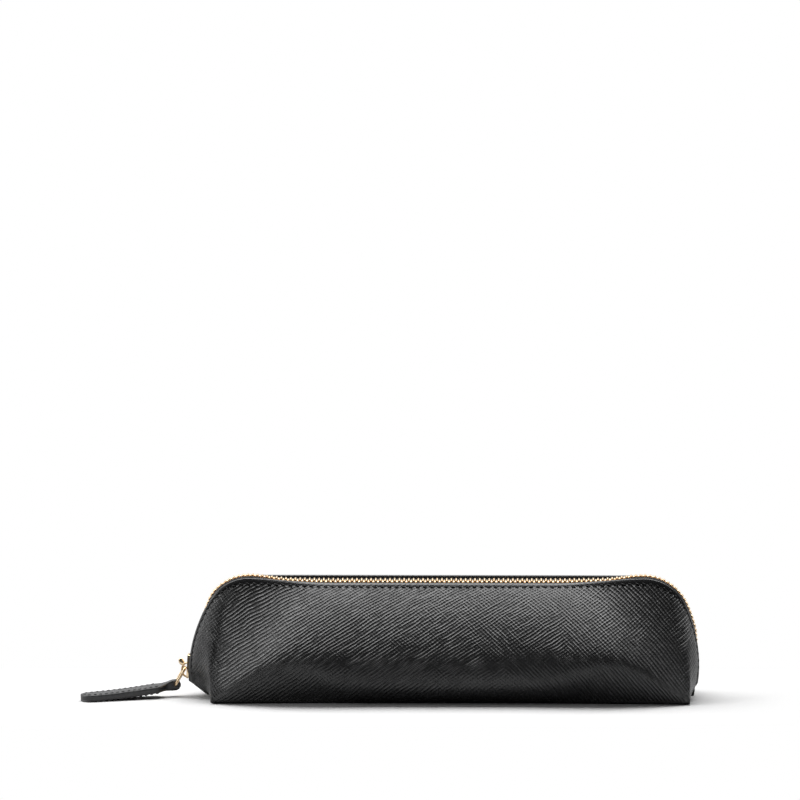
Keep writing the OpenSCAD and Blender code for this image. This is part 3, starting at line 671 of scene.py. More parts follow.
def wallHalf(name, side, back):
    # For each rib one closed loop: the hem turned under the base's edge, the outer skin, the rim, the inner skin.
    # Ribs and rows stand closer where the wall turns: powers of even steps.
    frontRibs = 1 - (1 - np.linspace(0, 1, wallSkin["frontRibs"])) ** 1.5
    endRibs = 1 + np.linspace(0, 1, wallSkin["endRibs"] + 1)[1:] ** 1.25
    ribs = np.concatenate([frontRibs, endRibs])
    u = side * np.maximum(ribs, 1e-6)
    rows = 1 - (1 - np.linspace(0, 1, wallSkin["rows"])) ** 1.45
    fine, run = ribRuns(u)
    rim = rimBack(u)[:, None]
    down = (run[:, :1] - rim) * (1 - rows)[None, :]
    vv = np.stack([np.interp(-down[i] - rim[i], -run[i], fine) for i in range(len(u))])
    uu = np.broadcast_to(u[:, None], vv.shape)
    outer, normal = wallPoint(uu, vv), wallNormal(uu, vv)
    lift, band = wallRelief(vv, down, outer[..., 0])
    skin = outer + normal * lift[..., None]
    thick = case["leather"]
    turn = np.linspace(0, math.pi, wallSkin["rimSteps"] + 2)[1:-1]
    rimUp = unit(outer[:, -1:] - outer[:, -2:-1])
    rimOut = normal[:, -1:]
    bow = rimOut * np.cos(turn)[None, :, None] + rimUp * np.sin(turn)[None, :, None] * wallSkin["lipFlat"]
    lip = skin[:, -1:] - rimOut * (thick / 2) + thick / 2 * bow
    inV = np.linspace(1, 0, wallSkin["innerRows"])
    vi = np.stack([np.interp(inV, rows, vv[i]) for i in range(len(u))])
    ui = np.broadcast_to(u[:, None], vi.shape)
    inner = wallPoint(ui, vi) - wallNormal(ui, vi) * thick
    inner[..., 2] = np.maximum(inner[..., 2], case["footHeight"])
    # The hem is a quarter circle from the foot down and inwards.
    flat = unit(normal[:, :1] * np.array([1, 1, 0]))
    arc = np.linspace(math.pi / 2, 0, wallSkin["hemSteps"] + 1)[:-1]
    radius = wallSkin["hemRadius"]
    hem = (skin[:, :1] - flat * radius * (1 - np.cos(arc))[None, :, None]
           - np.array([0, 0, 1]) * radius * np.sin(arc)[None, :, None])
    rings = np.concatenate([hem, skin, lip, inner], axis=1)
    # The grain's own map: across is the place along the case plus the way round its end, up is the height plus
    # a share of the depth. Towards the ends it is drawn in and twisted, so the lines stand steeper.
    half = case["length"] / 2
    deep = np.abs(outer[..., 1])
    corner = wallSkin["frontRibs"] - 1
    ridgeDeep = np.interp(outer[..., 2], outer[corner, :, 2], deep[corner])
    roundEnd = np.maximum(ridgeDeep - deep, 0) * (np.abs(u) > 1)[:, None]
    onSkin = outer[..., 0] + side * wallSkin["endShare"] * roundEnd
    sloped = smooth((1 - np.abs(u)) / wallSkin["slopeRun"])[:, None]
    climb = outer[..., 2] + wallSkin["slopeShare"] * sloped * (deep.max() - deep)
    tall = climb[:, -1:]
    within = np.stack([np.interp(inV, rows, onSkin[i]) for i in range(len(u))])
    hemX, lipX = onSkin[:, :1].repeat(len(arc), 1), onSkin[:, -1:].repeat(len(turn), 1)
    ownX = np.concatenate([hemX, onSkin, lipX, within], 1)
    hemRise = -radius * (arc / (math.pi / 2))[None, :].repeat(len(u), 0)
    lipRise = tall + thick / 2 * turn[None, :]
    innerRise = tall + thick + (1 - inV)[None, :] * tall
    rise = np.concatenate([hemRise, climb, lipRise, innerRise], axis=1)
    near = np.clip(np.abs(ownX) / half, 0, 1.2)
    twist = wallSkin["grainTwist"] * near ** 3
    mapU = ownX * (1 + wallSkin["grainDraw"] * near ** 3 / 4) - twist * rise
    mapV = rise + wallSkin["grainTwist"] * np.sign(ownX) * near ** 4 * half / 4
    hemEdge = np.full((len(u), len(arc)), wallSkin["hemEdge"])
    innerEdge = np.ones((len(u), len(turn) + len(inV)))
    edge = np.concatenate([hemEdge, band, innerEdge], axis=1)
    leading = np.interp(u, grainLead["ribs"], grainLead["shift"])
    low = (1 - overRun(rise, wallSkin["lowFade"])) * overRun(ownX, wallSkin["lowFrom"])
    bias = leading[:, None] - wallSkin["lowShift"] * low
    points, faces = ringFaces(onWall(rings, back))
    uv = withEnds(np.stack([mapU, mapV], -1))
    masks = {"smoothEdge": withEnds(edge), "grainBias": withEnds(bias)}
    return makePiece(name, points, faces, wallLeather, uv, masks)


sides = ((-1, "Left"), (1, "Right"))


def bothHalves(make, face, label, node):
    # The left half, then the right one; each is baked in place, and the node's own solid is hidden.
    halves = [make(f"{face}{label}{end}", side, face == "back") for side, end in sides]
    for piece, (side, end) in zip(halves, sides):
        bendWithWall(piece)
    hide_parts(f"{face}_{node}")


for face in ("front", "back"):
    bothHalves(wallHalf, face, "Wall", "leather")
print("walls sewn")

sole = {
    "inset": 1.3 * mm,
    "top": 1.3 * mm,
    "round": 0.45 * mm,
    "ribs": 160,
    "flatFrom": 8 * mm,
    "edgeWithin": 2.2 * mm,
    "edge": 0.6,
}


def baseOutline(inset, count):
    # The base's edge as four mirrored quarters: along the front, then across the end.
    # Each quarter has "count" points.
    r = np.linspace(0, 2, count)
    e = np.clip(r - 1, 0, 1)
    reach = halfBase - inset
    x = np.where(r <= 1, r * reach, reach + case["endBow"] * np.sin(e * math.pi / 2))
    sideY = halfWidthAt(x) - inset
    y = np.where(r <= 1, sideY, sideY * (1 - e))
    quarter = np.stack([x, -y], -1)
    half = np.concatenate([quarter, quarter[-2::-1] * [1, -1]])
    return np.concatenate([half, half[-2:0:-1] * [-1, 1]])


def baseSole():
    # Closed rings from the flat underside round a rolled edge to the flat top.
    turn = np.linspace(-math.pi / 2, math.pi / 2, 9)
    inset = sole["inset"] + sole["round"] * (1 - np.cos(turn))
    z = np.where(turn < 0, sole["round"] * (1 + np.sin(turn)), sole["top"] - sole["round"] * (1 - np.sin(turn)))
    inset = np.concatenate([[sole["flatFrom"]], inset, [sole["flatFrom"]]])
    z = np.concatenate([[0], z, [sole["top"]]])
    around = 4 * sole["ribs"] - 4
    rings = np.stack([np.column_stack([baseOutline(d, sole["ribs"]), np.full(around, h)])
                      for d, h in zip(inset, z)])
    points, faces = ringFaces(rings)
    uv = withEnds(rings)[..., :2]
    edge = withEnds(np.repeat(((inset < sole["edgeWithin"]) * sole["edge"])[:, None], rings.shape[1], 1))
    piece = makePiece("baseSole", points, faces, wallLeather, uv, {"smoothEdge": edge})
    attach(piece, "base")
    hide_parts("base_leather")


baseSole()

endPatch = {
    "width": 8.0 * mm,
    "sink": 0.5 * mm,
    "thick": 1.1 * mm,
    "crown": 0.35 * mm,
    "flare": 0.22,
    "foot": 1.0 * mm,
    "headClear": 0.2 * mm,
    "edge": 0.1,
}


def patchAt(name, end, node):
    # A strip from the base up to where the zip ends, a little hollow beside the rims and crowned between them.
    # It gets wider towards the foot.
    side = (-1, 1)[end]
    foot = np.array([side * (halfBase + case["endBow"]), endPatch["foot"]])
    head = np.array([float(a) for a in archPoint(side * (archLens[end] - endPatch["headClear"]))])
    along = unit(head - foot)
    out = side * np.array([along[1], -along[0]])
    rise = np.linspace(0, 1, 12)
    turn = np.linspace(0, 2 * math.pi, 28, endpoint=False)
    across = np.sign(np.cos(turn)) * np.abs(np.cos(turn)) ** 0.35 * endPatch["width"] / 2
    depth = np.sign(np.sin(turn)) * np.abs(np.sin(turn)) ** 0.6 * endPatch["thick"] / 2
    crown = endPatch["crown"] * (1 - (2 * across / endPatch["width"]) ** 2)
    lift = crown - endPatch["sink"] - endPatch["thick"] / 2
    path = foot + rise[:, None] * (head - foot)
    xz = path[:, None, :] + (depth + lift)[None, :, None] * out
    wide = across * (1 + endPatch["flare"] * (1 - rise))[:, None]
    rings = np.stack([xz[..., 0], wide, xz[..., 1]], -1)
    points, faces = ringFaces(rings)
    length = np.linalg.norm(head - foot)
    uv = np.stack(np.broadcast_arrays(wide, rise[:, None] * length), -1)
    masks = {"smoothEdge": withEnds(np.full(rings.shape[:2], endPatch["edge"]))}
    piece = makePiece(name, points, faces, wallLeather, withEnds(uv), masks)
    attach(piece, "base")
    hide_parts(node)


patchAt("leftEndPatch", 0, "left_end_tab")
patchAt("rightEndPatch", 1, "right_end_tab")
print("base sewn")

zipChain = {
    "pitch": 1.9 * mm,
    "thick": 0.84 * mm,
    "high": 1.9 * mm,
    "root": 2.1 * mm,
    "deep": 1.05 * mm,
    "proud": 1.25 * mm,
    "levelRuns": (25 * mm, 9 * mm),
    "riseRun": 16 * mm,
    "fallRun": 14 * mm,
    "parkClear": 0.9 * mm,
    "farClear": 9.5 * mm,
    "tapeThick": 0.4 * mm,
    "tapeEdge": 1.48 * mm,
    "tapeTurn": 0.97,
    "tapeHem": 0.84,
    "tapeUnder": 2.25 * mm,
    "tapeClear": 1 * mm,
    "tapeGap": 0.05 * mm,
    "tapeSink": 0.18 * mm,
    "clearOfSlider": 4.0 * mm,
    "stations": 96,
}
parkTurn = math.acos((case["parkHeight"] - sideZs[0]) / (sideRadius - zipChain["deep"]))
parkS = straights[0] + cornerLens[0] + sideRadius * (parkTurn - cornerTurns[0])
firstS = -parkS + zipChain["parkClear"]
lastS = archLens[1] - zipChain["farClear"]
toothCount = int((lastS - firstS) / zipChain["pitch"])


def chainDepth(s):
    # The chain lies level with the edges on top and stands a little proud of them round both corners.
    end, a = endOf(s), np.abs(s)
    onCorner = smooth((a - straights[end] + zipChain["riseRun"]) / zipChain["riseRun"])
    # Where the slider runs, at the parked end, the chain stays level for longer.
    level = np.array(zipChain["levelRuns"])[end]
    downEnd = smooth((archLens[end] - a - level) / zipChain["fallRun"])
    return zipChain["deep"] - zipChain["proud"] * onCorner * downEnd


def zipFrame(s):
    # Outwards and along the zip at length s, in the plane y = 0.
    lean, nil = archLean(s), np.zeros_like(s)
    out = np.stack([np.sin(lean), nil, np.cos(lean)], -1)
    along = np.stack([np.cos(lean), nil, -np.sin(lean)], -1)
    return out, along


def toothShape():
    # Rounded sections across the zip: full at the root, waisted, a bead at the tip.
    # The axes are across, out, along.
    across = np.array([-1.0, -0.92, -0.74, -0.34, -0.12, 0.04, 0.16, 0.214]) * zipChain["root"]
    high = np.array([0.34, 0.44, 0.50, 0.49, 0.42, 0.46, 0.40, 0.22]) * zipChain["high"]
    thick = np.array([0.34, 0.44, 0.50, 0.50, 0.44, 0.50, 0.42, 0.20]) * zipChain["thick"]
    turn = (np.arange(8) + 0.5) / 8 * 2 * math.pi
    out = np.sign(np.sin(turn)) * np.abs(np.sin(turn)) ** 0.6
    along = np.sign(np.cos(turn)) * np.abs(np.cos(turn)) ** 0.6
    every = [np.repeat(across[:, None], 8, 1), high[:, None] * out, thick[:, None] * along]
    return ringFaces(np.stack(every, -1))


def chainHalf(name, side, back):
    # One tooth after another on the chain's line; the back row stands half a pitch on.
    s = firstS + (np.arange(toothCount) + (0.5 if back else 0)) * zipChain["pitch"]
    s = s[(s < 0) == (side < 0)]
    x, z = archPoint(s, chainDepth(s))
    nil = np.zeros_like(s)
    places = np.stack([x, nil, z], -1)
    across = np.stack([nil, nil + 1, nil], -1)
    out, along = zipFrame(s)
    shape, shapeFaces = toothShape()
    points, faces = repeated(shape, shapeFaces, places, np.stack([across, out, along], 1))
    return makePiece(name, onWall(points, back), faces, goldPlate)


def tapeHalf(name, side, back):
    # A band in four straight runs, rounded: beside the teeth, over to the leather, and down behind the lining.
    clear = zipChain["tapeClear"]
    lo, hi = (clear - archLens[0], 0.0) if side < 0 else (0.0, archLens[1] - clear)
    s = np.linspace(lo, hi, zipChain["stations"])
    x, z = archPoint(s, chainDepth(s))
    u = wallU(s)
    nil = np.zeros_like(s)
    out = zipFrame(s)[0]
    middle = np.stack([x, nil, z], -1)
    under = zipChain["tapeUnder"] + zipChain["tapeThick"] / 2

    def behind(v):
        place = wallPoint(u, nil + v) - wallNormal(u, nil + v) * under
        place[:, 1] = np.minimum(place[:, 1], -zipChain["clearOfSlider"])
        return place

    rim = (wallPoint(u, nil + 1) - wallNormal(u, nil + 1) * case["leather"])[:, 1]
    inner = middle - np.array([0, zipChain["tapeEdge"], 0])
    dive = middle + np.stack([nil, rim + zipChain["tapeGap"], nil], -1) - out * zipChain["tapeSink"]
    knots = np.stack([inner, dive, behind(zipChain["tapeTurn"]), behind(zipChain["tapeHem"])], 1)
    t = np.linspace(0, 3, 19)
    k = np.minimum(t.astype(int), 2)
    line = knots[:, k] + (t - k)[None, :, None] * (knots[:, k + 1] - knots[:, k])
    line[:, 1:-1] = (line[:, :-2] + 2 * line[:, 1:-1] + line[:, 2:]) / 4
    normal = unit(np.cross(np.gradient(line, axis=0), np.gradient(line, axis=1)))
    half = zipChain["tapeThick"] / 2
    rings = np.concatenate([line + normal * half, (line - normal * half)[:, ::-1]], axis=1)
    steps = np.linalg.norm(np.diff(line, axis=1), axis=-1)
    run = np.concatenate([np.zeros((len(s), 1)), np.cumsum(steps, axis=1)], axis=1)
    run = np.concatenate([run, run[:, ::-1]], axis=1)
    uv = np.stack([np.repeat(s[:, None], rings.shape[1], 1), run], -1)
    points, faces = ringFaces(onWall(rings, back))
    return makePiece(name, points, faces, tapeCloth, withEnds(uv))


for face in ("front", "back"):
    bothHalves(chainHalf, face, "Teeth", "teeth")
    bothHalves(tapeHalf, face, "Tape", "tape")
print("zip laid:", toothCount, "teeth on each tape")

liningCut = {
    "gap": 0.25 * mm,
    "thick": 0.35 * mm,
    "loose": 0.25 * mm,
    "endClear": 0.3 * mm,
    "footClear": 0.1 * mm,
    "low": 0.02,
    "high": 0.86,
    "ribs": 70,
    "rows": 18,
    "cutArea": 0.98,
    "cutWider": 1.1,
}


def liningHalf(name, side, back):
    # The wall's own surface, further in by the leather and a gap; between the base and the zip the cloth hangs
    # a little loose, by a wave along the wall.
    ribs = 2 * (1 - (1 - np.linspace(0, 1, liningCut["ribs"])) ** 1.2)
    u = side * np.maximum(ribs, 1e-6)
    uu, vv = np.meshgrid(u, np.linspace(liningCut["low"], liningCut["high"], liningCut["rows"]), indexing="ij")
    swell = np.sin(np.clip((vv - 0.05) / 0.7, 0, 1) * math.pi)
    loose = liningCut["loose"] * (0.5 + 0.5 * np.sin(uu * 9 + 2 * vv)) * swell
    depth = case["leather"] + liningCut["gap"] + np.where(np.abs(uu) < 1.2, loose, 0)
    normal = wallNormal(uu, vv)
    near = wallPoint(uu, vv) - normal * depth[..., None]
    far = near - normal * liningCut["thick"]
    reach = np.abs(wallPoint(uu, vv)[..., 0]) - liningCut["endClear"]
    for layer in (near, far):
        layer[..., 0] = np.sign(layer[..., 0]) * np.minimum(np.abs(layer[..., 0]), reach)
        layer[..., 2] = np.maximum(layer[..., 2], case["footHeight"] + liningCut["footClear"])
    rings = np.concatenate([near, far[:, ::-1]], axis=1)
    middle = near[:, liningCut["rows"] // 2]
    run = np.concatenate([[0], np.cumsum(np.linalg.norm(np.diff(middle, axis=0), axis=-1))])
    down = fromZip(u, vv[0])
    down = np.concatenate([down, down[:, ::-1]], axis=1)
    uv = np.stack([np.repeat(run[:, None], rings.shape[1], 1), down], -1)
    points, faces = ringFaces(onWall(rings, back), joined=True)
    piece = makePiece(name, points, faces, liningCloth, uv)
    return piece


for face in ("front", "back"):
    bothHalves(liningHalf, face, "Lining", "lining")

baseCloth = {
    "inset": 2.9 * mm,
    "low": 2.0 * mm,
    "thick": 0.35 * mm,
    "puff": 0.12 * mm,
    "puffRun": 3 * mm,
    "columns": 90,
    "rows": 22,
}


def baseLining():
    # Cloth over the board: a flat grid with sides that follow the base, raised by a product of two waves.
    reach = halfBase - baseCloth["inset"]
    x = np.linspace(-reach, reach, baseCloth["columns"])
    y = np.linspace(-1, 1, baseCloth["rows"])
    half = halfWidthAt(x) - baseCloth["inset"]
    xx, yy = np.broadcast_arrays(x[:, None], y[None, :] * half[:, None])
    edge = np.minimum(half[:, None] - np.abs(yy), (reach - np.abs(x))[:, None])
    puff = baseCloth["puff"] * smooth(edge / baseCloth["puffRun"]) * (1 + np.sin(xx * 190) * np.sin(yy * 240))
    top = np.stack([xx, yy, baseCloth["low"] + baseCloth["thick"] + puff], -1)
    under = np.stack([xx, yy, np.full_like(xx, baseCloth["low"])], -1)
    rings = np.concatenate([top, under[:, ::-1]], axis=1)
    points, faces = ringFaces(rings, joined=True)
    piece = makePiece("baseCloth", points, faces, liningCloth, rings[..., :2])
    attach(piece, "base")
    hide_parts("base_lining")


baseLining()
print("lined")

seam = {
    "pitch": 2.8 * mm,
    "length": 2.0 * mm,
    "thread": 0.62 * mm,
    "slant": math.radians(26),
    "dip": 0.30 * mm,
    "sink": 0.45,
    "endClear": 5 * mm,
}


def stitchShape(length, thread, dip):
    # A short tube whose ends bend down into the leather; the axes are along, across, up.
    # Its own map is length and turn.
    t = np.linspace(-1, 1, 9)
    turn = np.linspace(0, 2 * math.pi, 6, endpoint=False)
    radius = thread / 2 * (1 - 0.35 * t ** 6)
    up = thread * 0.35 - dip * np.abs(t) ** 2.5 - thread * 0.6 * np.abs(t) ** 8
    along = t[:, None] * length / 2
    across = radius[:, None] * np.cos(turn)
    lift = up[:, None] + radius[:, None] * np.sin(turn)
    points, faces = ringFaces(np.stack(np.broadcast_arrays(along, across, lift), -1))
    uv = withEnds(np.stack(np.broadcast_arrays(along, turn[None, :] / 2 / math.pi), -1))
    return points, faces, uv


def seamHalf(name, side, back):
    # One slanted stitch after another at a fixed distance from the zip's edge, each on the leather's own plane.
    lo, hi = seam["endClear"] - archLens[0], archLens[1] - seam["endClear"]
    s = np.linspace(lo, hi, int((hi - lo) / seam["pitch"]) + 1)
    s = s[(s < 0) == (side < 0)]
    u = wallU(s)
    v = heightAt(u, rimBack(u) + wallSkin["stitchInset"])
    place, normal = wallPoint(u, v), wallNormal(u, v)
    step = 0.004
    tangent = wallPoint(u + step, v) - wallPoint(u - step, v)
    tangent = unit(tangent - (tangent * normal).sum(-1, keepdims=True) * normal)
    aside = np.cross(normal, tangent)
    slant = seam["slant"]
    along = math.cos(slant) * tangent - math.sin(slant) * aside
    across = np.cross(normal, along)
    shape, shapeFaces, shapeMap = stitchShape(seam["length"], seam["thread"], seam["dip"])
    place = place - normal * wallSkin["grooveDepth"] * seam["sink"]
    points, faces = repeated(shape, shapeFaces, place, np.stack([along, across, normal], 1))
    points = onWall(points, back)
    return makePiece(name, points, faces, sewingThread, np.tile(shapeMap, (len(s), 1)))


for face in ("front", "back"):
    bothHalves(seamHalf, face, "Seam", "stitching")
print("edges stitched")

sliderLook = {
    "plate": 0.65 * mm,
    "plateClear": 0.3 * mm,
    "bridgeY": -1.6 * mm,
    "bridgeIn": (2.4 * mm, 1.65 * mm),
    "bridgeThick": 0.8 * mm,
    "bridgeWidth": 1.7 * mm,
    "knob": (1.1 * mm, 1.55 * mm, 0.85 * mm),
    "knobUp": 0.75 * mm,
    "knobLean": math.radians(-60),
    "bevel": 0.14 * mm,
    "stopBevel": 0.12 * mm,
}
plateTop = zipChain["high"] / 2 + sliderLook["plateClear"] + sliderLook["plate"]
parkX, parkZ = (float(a) for a in archPoint(-parkS, zipChain["deep"]))
parkLean = float(archLean(-parkS))
chainOut = np.array([math.sin(parkLean), 0, math.cos(parkLean)])
chainUp = np.array([math.cos(parkLean), 0, -math.sin(parkLean)])


def onSlider(points):
    # The slider's own x points to the front, y up the chain and z outwards.
    return (np.array([parkX, 0, parkZ]) + points[..., :1] * np.array([0, -1, 0])
            + points[..., 1:2] * chainUp + points[..., 2:] * chainOut)


def roundedCopy(name, node, material, bevel, body, blended=None):
    # The solid's own mesh, merged, with its sharp edges rounded off.
    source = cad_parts[node]
    mesh = bpy.data.meshes.new(name)
    work = bmesh.new()
    work.from_mesh(source.data)
    bmesh.ops.remove_doubles(work, verts=work.verts, dist=1e-6)
    bmesh.ops.dissolve_limit(work, angle_limit=math.radians(1), verts=work.verts, edges=work.edges)
    work.to_mesh(mesh)
    work.free()
    mesh.polygons.foreach_set("use_smooth", np.ones(len(mesh.polygons), bool))
    mesh.materials.clear()
    mesh.materials.append(material)
    piece = bpy.data.objects.new(name, mesh)
    scene.collection.objects.link(piece)
    edges = piece.modifiers.new("rounded", "BEVEL")
    edges.width = bevel
    edges.segments = 2
    edges.limit_method = "ANGLE"
    edges.angle_limit = math.radians(35)
    edges.harden_normals = True
    if blended is None:
        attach(piece, body)
    else:
        bendWithWall(piece)
    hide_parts(node)
    return piece


roundedCopy("sliderBody", "slider_body", goldPlate, sliderLook["bevel"], "slider")
roundedCopy("bottomStop", "bottom_stop", goldPlate, sliderLook["stopBevel"], "base")
roundedCopy("frontTopStop", "front_top_stop", goldPlate, sliderLook["stopBevel"], "front_wall", -1)
roundedCopy("backTopStop", "back_top_stop", goldPlate, sliderLook["stopBevel"], "back_wall", -1)


def roundedBar(turn, wide, high, corner):
    # A rectangle with rounded corners as one closed curve: powers of cosine and sine.
    a = np.sign(np.cos(turn)) * np.abs(np.cos(turn)) ** corner * wide / 2
    b = np.sign(np.sin(turn)) * np.abs(np.sin(turn)) ** corner * high / 2
    return a, b


def sliderBridge():
    # A flat bar bent over the outer plate in half an ellipse, and the oval knob on its upper shoulder.
    t = np.linspace(0, math.pi, 33)
    reach, rise = (a + sliderLook["bridgeThick"] / 2 for a in sliderLook["bridgeIn"])
    place = np.stack([np.zeros_like(t), reach * np.cos(t), rise * np.sin(t)], -1)
    out = unit(np.stack([np.zeros_like(t), np.cos(t) / reach, np.sin(t) / rise], -1))
    turn = np.linspace(0, 2 * math.pi, 20, endpoint=False)
    wide, high = roundedBar(turn, sliderLook["bridgeWidth"], sliderLook["bridgeThick"], 0.6)
    rings = place[:, None] + wide[None, :, None] * np.array([1, 0, 0]) + high[None, :, None] * out[:, None]
    rings += np.array([0, sliderLook["bridgeY"], plateTop])
    arch, archFaces = ringFaces(onSlider(rings))
    # The knob: an ellipsoid with a flattened middle.
    polar = np.linspace(0.03, math.pi - 0.03, 18)
    about = np.linspace(0, 2 * math.pi, 28, endpoint=False)
    a, b, c = sliderLook["knob"]
    ringX = c * np.sign(np.cos(polar)) * np.abs(np.cos(polar)) ** 0.6
    ringR = np.sin(polar) ** 0.6
    ringY, ringZ = a * ringR[:, None] * np.cos(about), b * ringR[:, None] * np.sin(about)
    local = np.stack(np.broadcast_arrays(ringX[:, None], ringY, ringZ), -1)
    lean = sliderLook["knobLean"]
    y = local[..., 1] * math.cos(lean) - local[..., 2] * math.sin(lean)
    z = local[..., 1] * math.sin(lean) + local[..., 2] * math.cos(lean)
    knobAt = np.array([0, sliderLook["bridgeY"] + sliderLook["bridgeIn"][0] + sliderLook["knobUp"],
                       plateTop + sliderLook["bridgeIn"][1] + sliderLook["bridgeThick"]])
    knob, knobFaces = ringFaces(onSlider(np.stack([local[..., 0], y, z], -1) + knobAt))
    bar = makePiece("sliderBridge", arch, archFaces, goldPlate)
    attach(bar, "slider")
    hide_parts("slider_bridge")
    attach(makePiece("sliderKnob", knob, knobFaces, goldPlate), "slider")


sliderBridge()
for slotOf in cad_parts["slider_lock_spring"].material_slots:
    slotOf.material = springSteel
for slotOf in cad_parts["base_board"].material_slots:
    slotOf.material = greyBoard

pull = {
    "rod": 1.15 * mm,
    "linkWide": 4.6 * mm,
    "linkLong": 8.1 * mm,
    "linkBend": 1.15 * mm,
    "drop": math.radians(60),
    "linkYaw": math.radians(6),
    "pivotUp": 0.9 * mm,
    "pivotOut": 0.85 * mm,
    "length": 39 * mm,
    "wide": 8.6 * mm,
    "thick": 2.6 * mm,
    "yaw": math.radians(18),
    "edgeRound": 0.35 * mm,
    "neck": 2.7 * mm,
    "neckHigher": 0.85 * mm,
    "neckRun": 6.5 * mm,
    "widens": (3.2 * mm, 5.2 * mm),
    "flattens": (6 * mm, 3 * mm),
    "crown": 0.16 * mm,
    "gather": 0.15 * mm,
    "gatherRun": 9 * mm,
    "eye": 0.64 * mm,
    "tableGap": 0.1 * mm,
    "startShare": 1.75,
    "lowest": 0.02 * mm,
    "stitchInset": 1.15 * mm,
    "stitchPitch": 2.3 * mm,
    "stitchLong": 1.65 * mm,
    "stitchThread": 0.42 * mm,
    "stitchSlant": math.radians(14),
    "stitchPinch": 0.20 * mm,
    "pinchWide": 0.40 * mm,
    "stitchFrom": 8.4 * mm,
}
pivotUp = sliderLook["bridgeY"] + pull["pivotUp"]
pivot = np.array([parkX, 0, parkZ]) + (plateTop + pull["pivotOut"]) * chainOut + pivotUp * chainUp


def swung(points, yaw, drop, at):
    # Turned down about y, then about z, and moved to its place.
    x, y, z = points[..., 0], points[..., 1], points[..., 2]
    x, z = x * math.cos(drop) - z * math.sin(drop), x * math.sin(drop) + z * math.cos(drop)
    x, y = x * math.cos(yaw) - y * math.sin(yaw), x * math.sin(yaw) + y * math.cos(yaw)
    return np.stack([x, y, z], -1) + at


def pullLink():
    # A round rod along a rectangle with quarter bends, closed on itself.
    bend = pull["linkBend"]
    far, wide = bend - pull["linkLong"], pull["linkWide"] / 2 - bend
    centres = np.array([[-bend, wide], [far, wide], [far, -wide], [-bend, -wide]])
    corner = np.linspace(0, math.pi / 2, 9)
    turn = (np.arange(4)[:, None] * math.pi / 2 + corner[None, :]).ravel()
    line = np.repeat(centres, 9, axis=0) + bend * np.stack([np.cos(turn), np.sin(turn)], -1)
    between = np.linspace(0, 1, 6, endpoint=False)
    parts = []
    for k in range(4):
        parts.append(line[k * 9:k * 9 + 9])
        start, stop = line[k * 9 + 8], line[(k * 9 + 9) % 36]
        parts.append((start + between[:, None] * (stop - start))[1:])
    line = np.concatenate(parts)
    ahead = unit(np.roll(line, -1, axis=0) - np.roll(line, 1, axis=0))
    out = np.stack([ahead[:, 1], -ahead[:, 0]], -1)
    ring = np.linspace(0, 2 * math.pi, 20, endpoint=False)
    r = pull["rod"] / 2
    flat = line[:, None] + r * np.cos(ring)[None, :, None] * out[:, None]
    lift = np.broadcast_to(r * np.sin(ring)[None, :, None], (len(line), len(ring), 1))
    points = np.concatenate([flat, lift], -1)
    # The last ring meets the first: one more row of quads, counted round.
    faces = gridQuads(len(line) + 1, len(ring), loop=True) % (len(line) * len(ring))
    points = swung(points, pull["linkYaw"], pull["drop"], pivot)
    piece = makePiece("pullLink", points, faces, goldPlate)
    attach(piece, "link")
    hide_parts("pull_link")


pullLink()

linkReach = pull["linkLong"] * math.cos(pull["drop"])
tabAt = pivot - np.array([linkReach * math.cos(pull["linkYaw"]), linkReach * math.sin(pull["linkYaw"]),
                          pull["linkLong"] * math.sin(pull["drop"])])
tabFall = math.asin((tabAt[2] - pull["thick"] / 2 - pull["tableGap"]) / pull["length"])
tabStart = tabFall * pull["startShare"]
tabBend = pull["length"] / (2 * (tabStart - tabFall))


def tabLine(d, lift):
    # The strap's middle lies on a large circle; lift is square to it.
    a = tabStart - d / tabBend
    x = tabBend * (np.sin(a) - math.sin(tabStart)) - lift * np.sin(a)
    z = tabBend * (math.cos(tabStart) - np.cos(a)) + lift * np.cos(a)
    return x, z


def tabWide(d):
    # Half width: a round tip, straight sides, and a neck that narrows to pass through the link.
    r = pull["wide"] / 2
    tip = np.sqrt(np.clip(r * r - np.clip(d - (pull["length"] - r), 0, r) ** 2, 1e-12, None))
    neck = pull["neck"] / 2 + (r - pull["neck"] / 2) * overRun(d, pull["widens"])
    return np.minimum(tip, neck)


def strapSection(wide, inner, outer, crown, pinch):
    # Half of the folded strap's cut, anticlockwise: flat inner face, painted side, round edge, crowned outer face.
    # Each argument has one value for each place along the strap; pinch is how far the seam pulls the face in.
    r = pull["edgeRound"]
    bend = np.linspace(0, math.pi / 2, 6)
    reach = wide[:, None]
    flat = np.linspace(-1, 1, 5)[None, :] * reach
    sideUp = np.linspace(0.02, 1, 4)[None, :] * (outer - inner - r)[:, None] + inner[:, None]
    faceAcross = np.linspace(1, -1, 25)[None, 1:-1] * (reach - r)
    inset = reach - np.abs(faceAcross)
    bulge = crown[:, None] * (1 - (faceAcross / reach) ** 2)
    seamDip = pinch[:, None] * np.exp(-((inset - pull["stitchInset"]) / pull["pinchWide"]) ** 2)
    y = np.concatenate([flat, np.broadcast_to(reach, sideUp.shape), reach - r + r * np.cos(bend), faceAcross,
                        r - reach - r * np.cos(bend[::-1]), np.broadcast_to(-reach, sideUp.shape)], 1)
    corner = (outer - r)[:, None] + r * np.sin(bend)
    lift = np.concatenate([np.broadcast_to(inner[:, None], flat.shape), sideUp, corner,
                           outer[:, None] + bulge - seamDip, corner[:, ::-1], sideUp[:, ::-1]], 1)
    painted = np.concatenate([np.zeros(5), np.ones(4 + 6), np.zeros(23), np.ones(6 + 4)])
    onFace = np.concatenate([np.zeros(5 + 4 + 6), np.ones(23), np.zeros(6 + 4)])
    return y, lift, painted, onFace


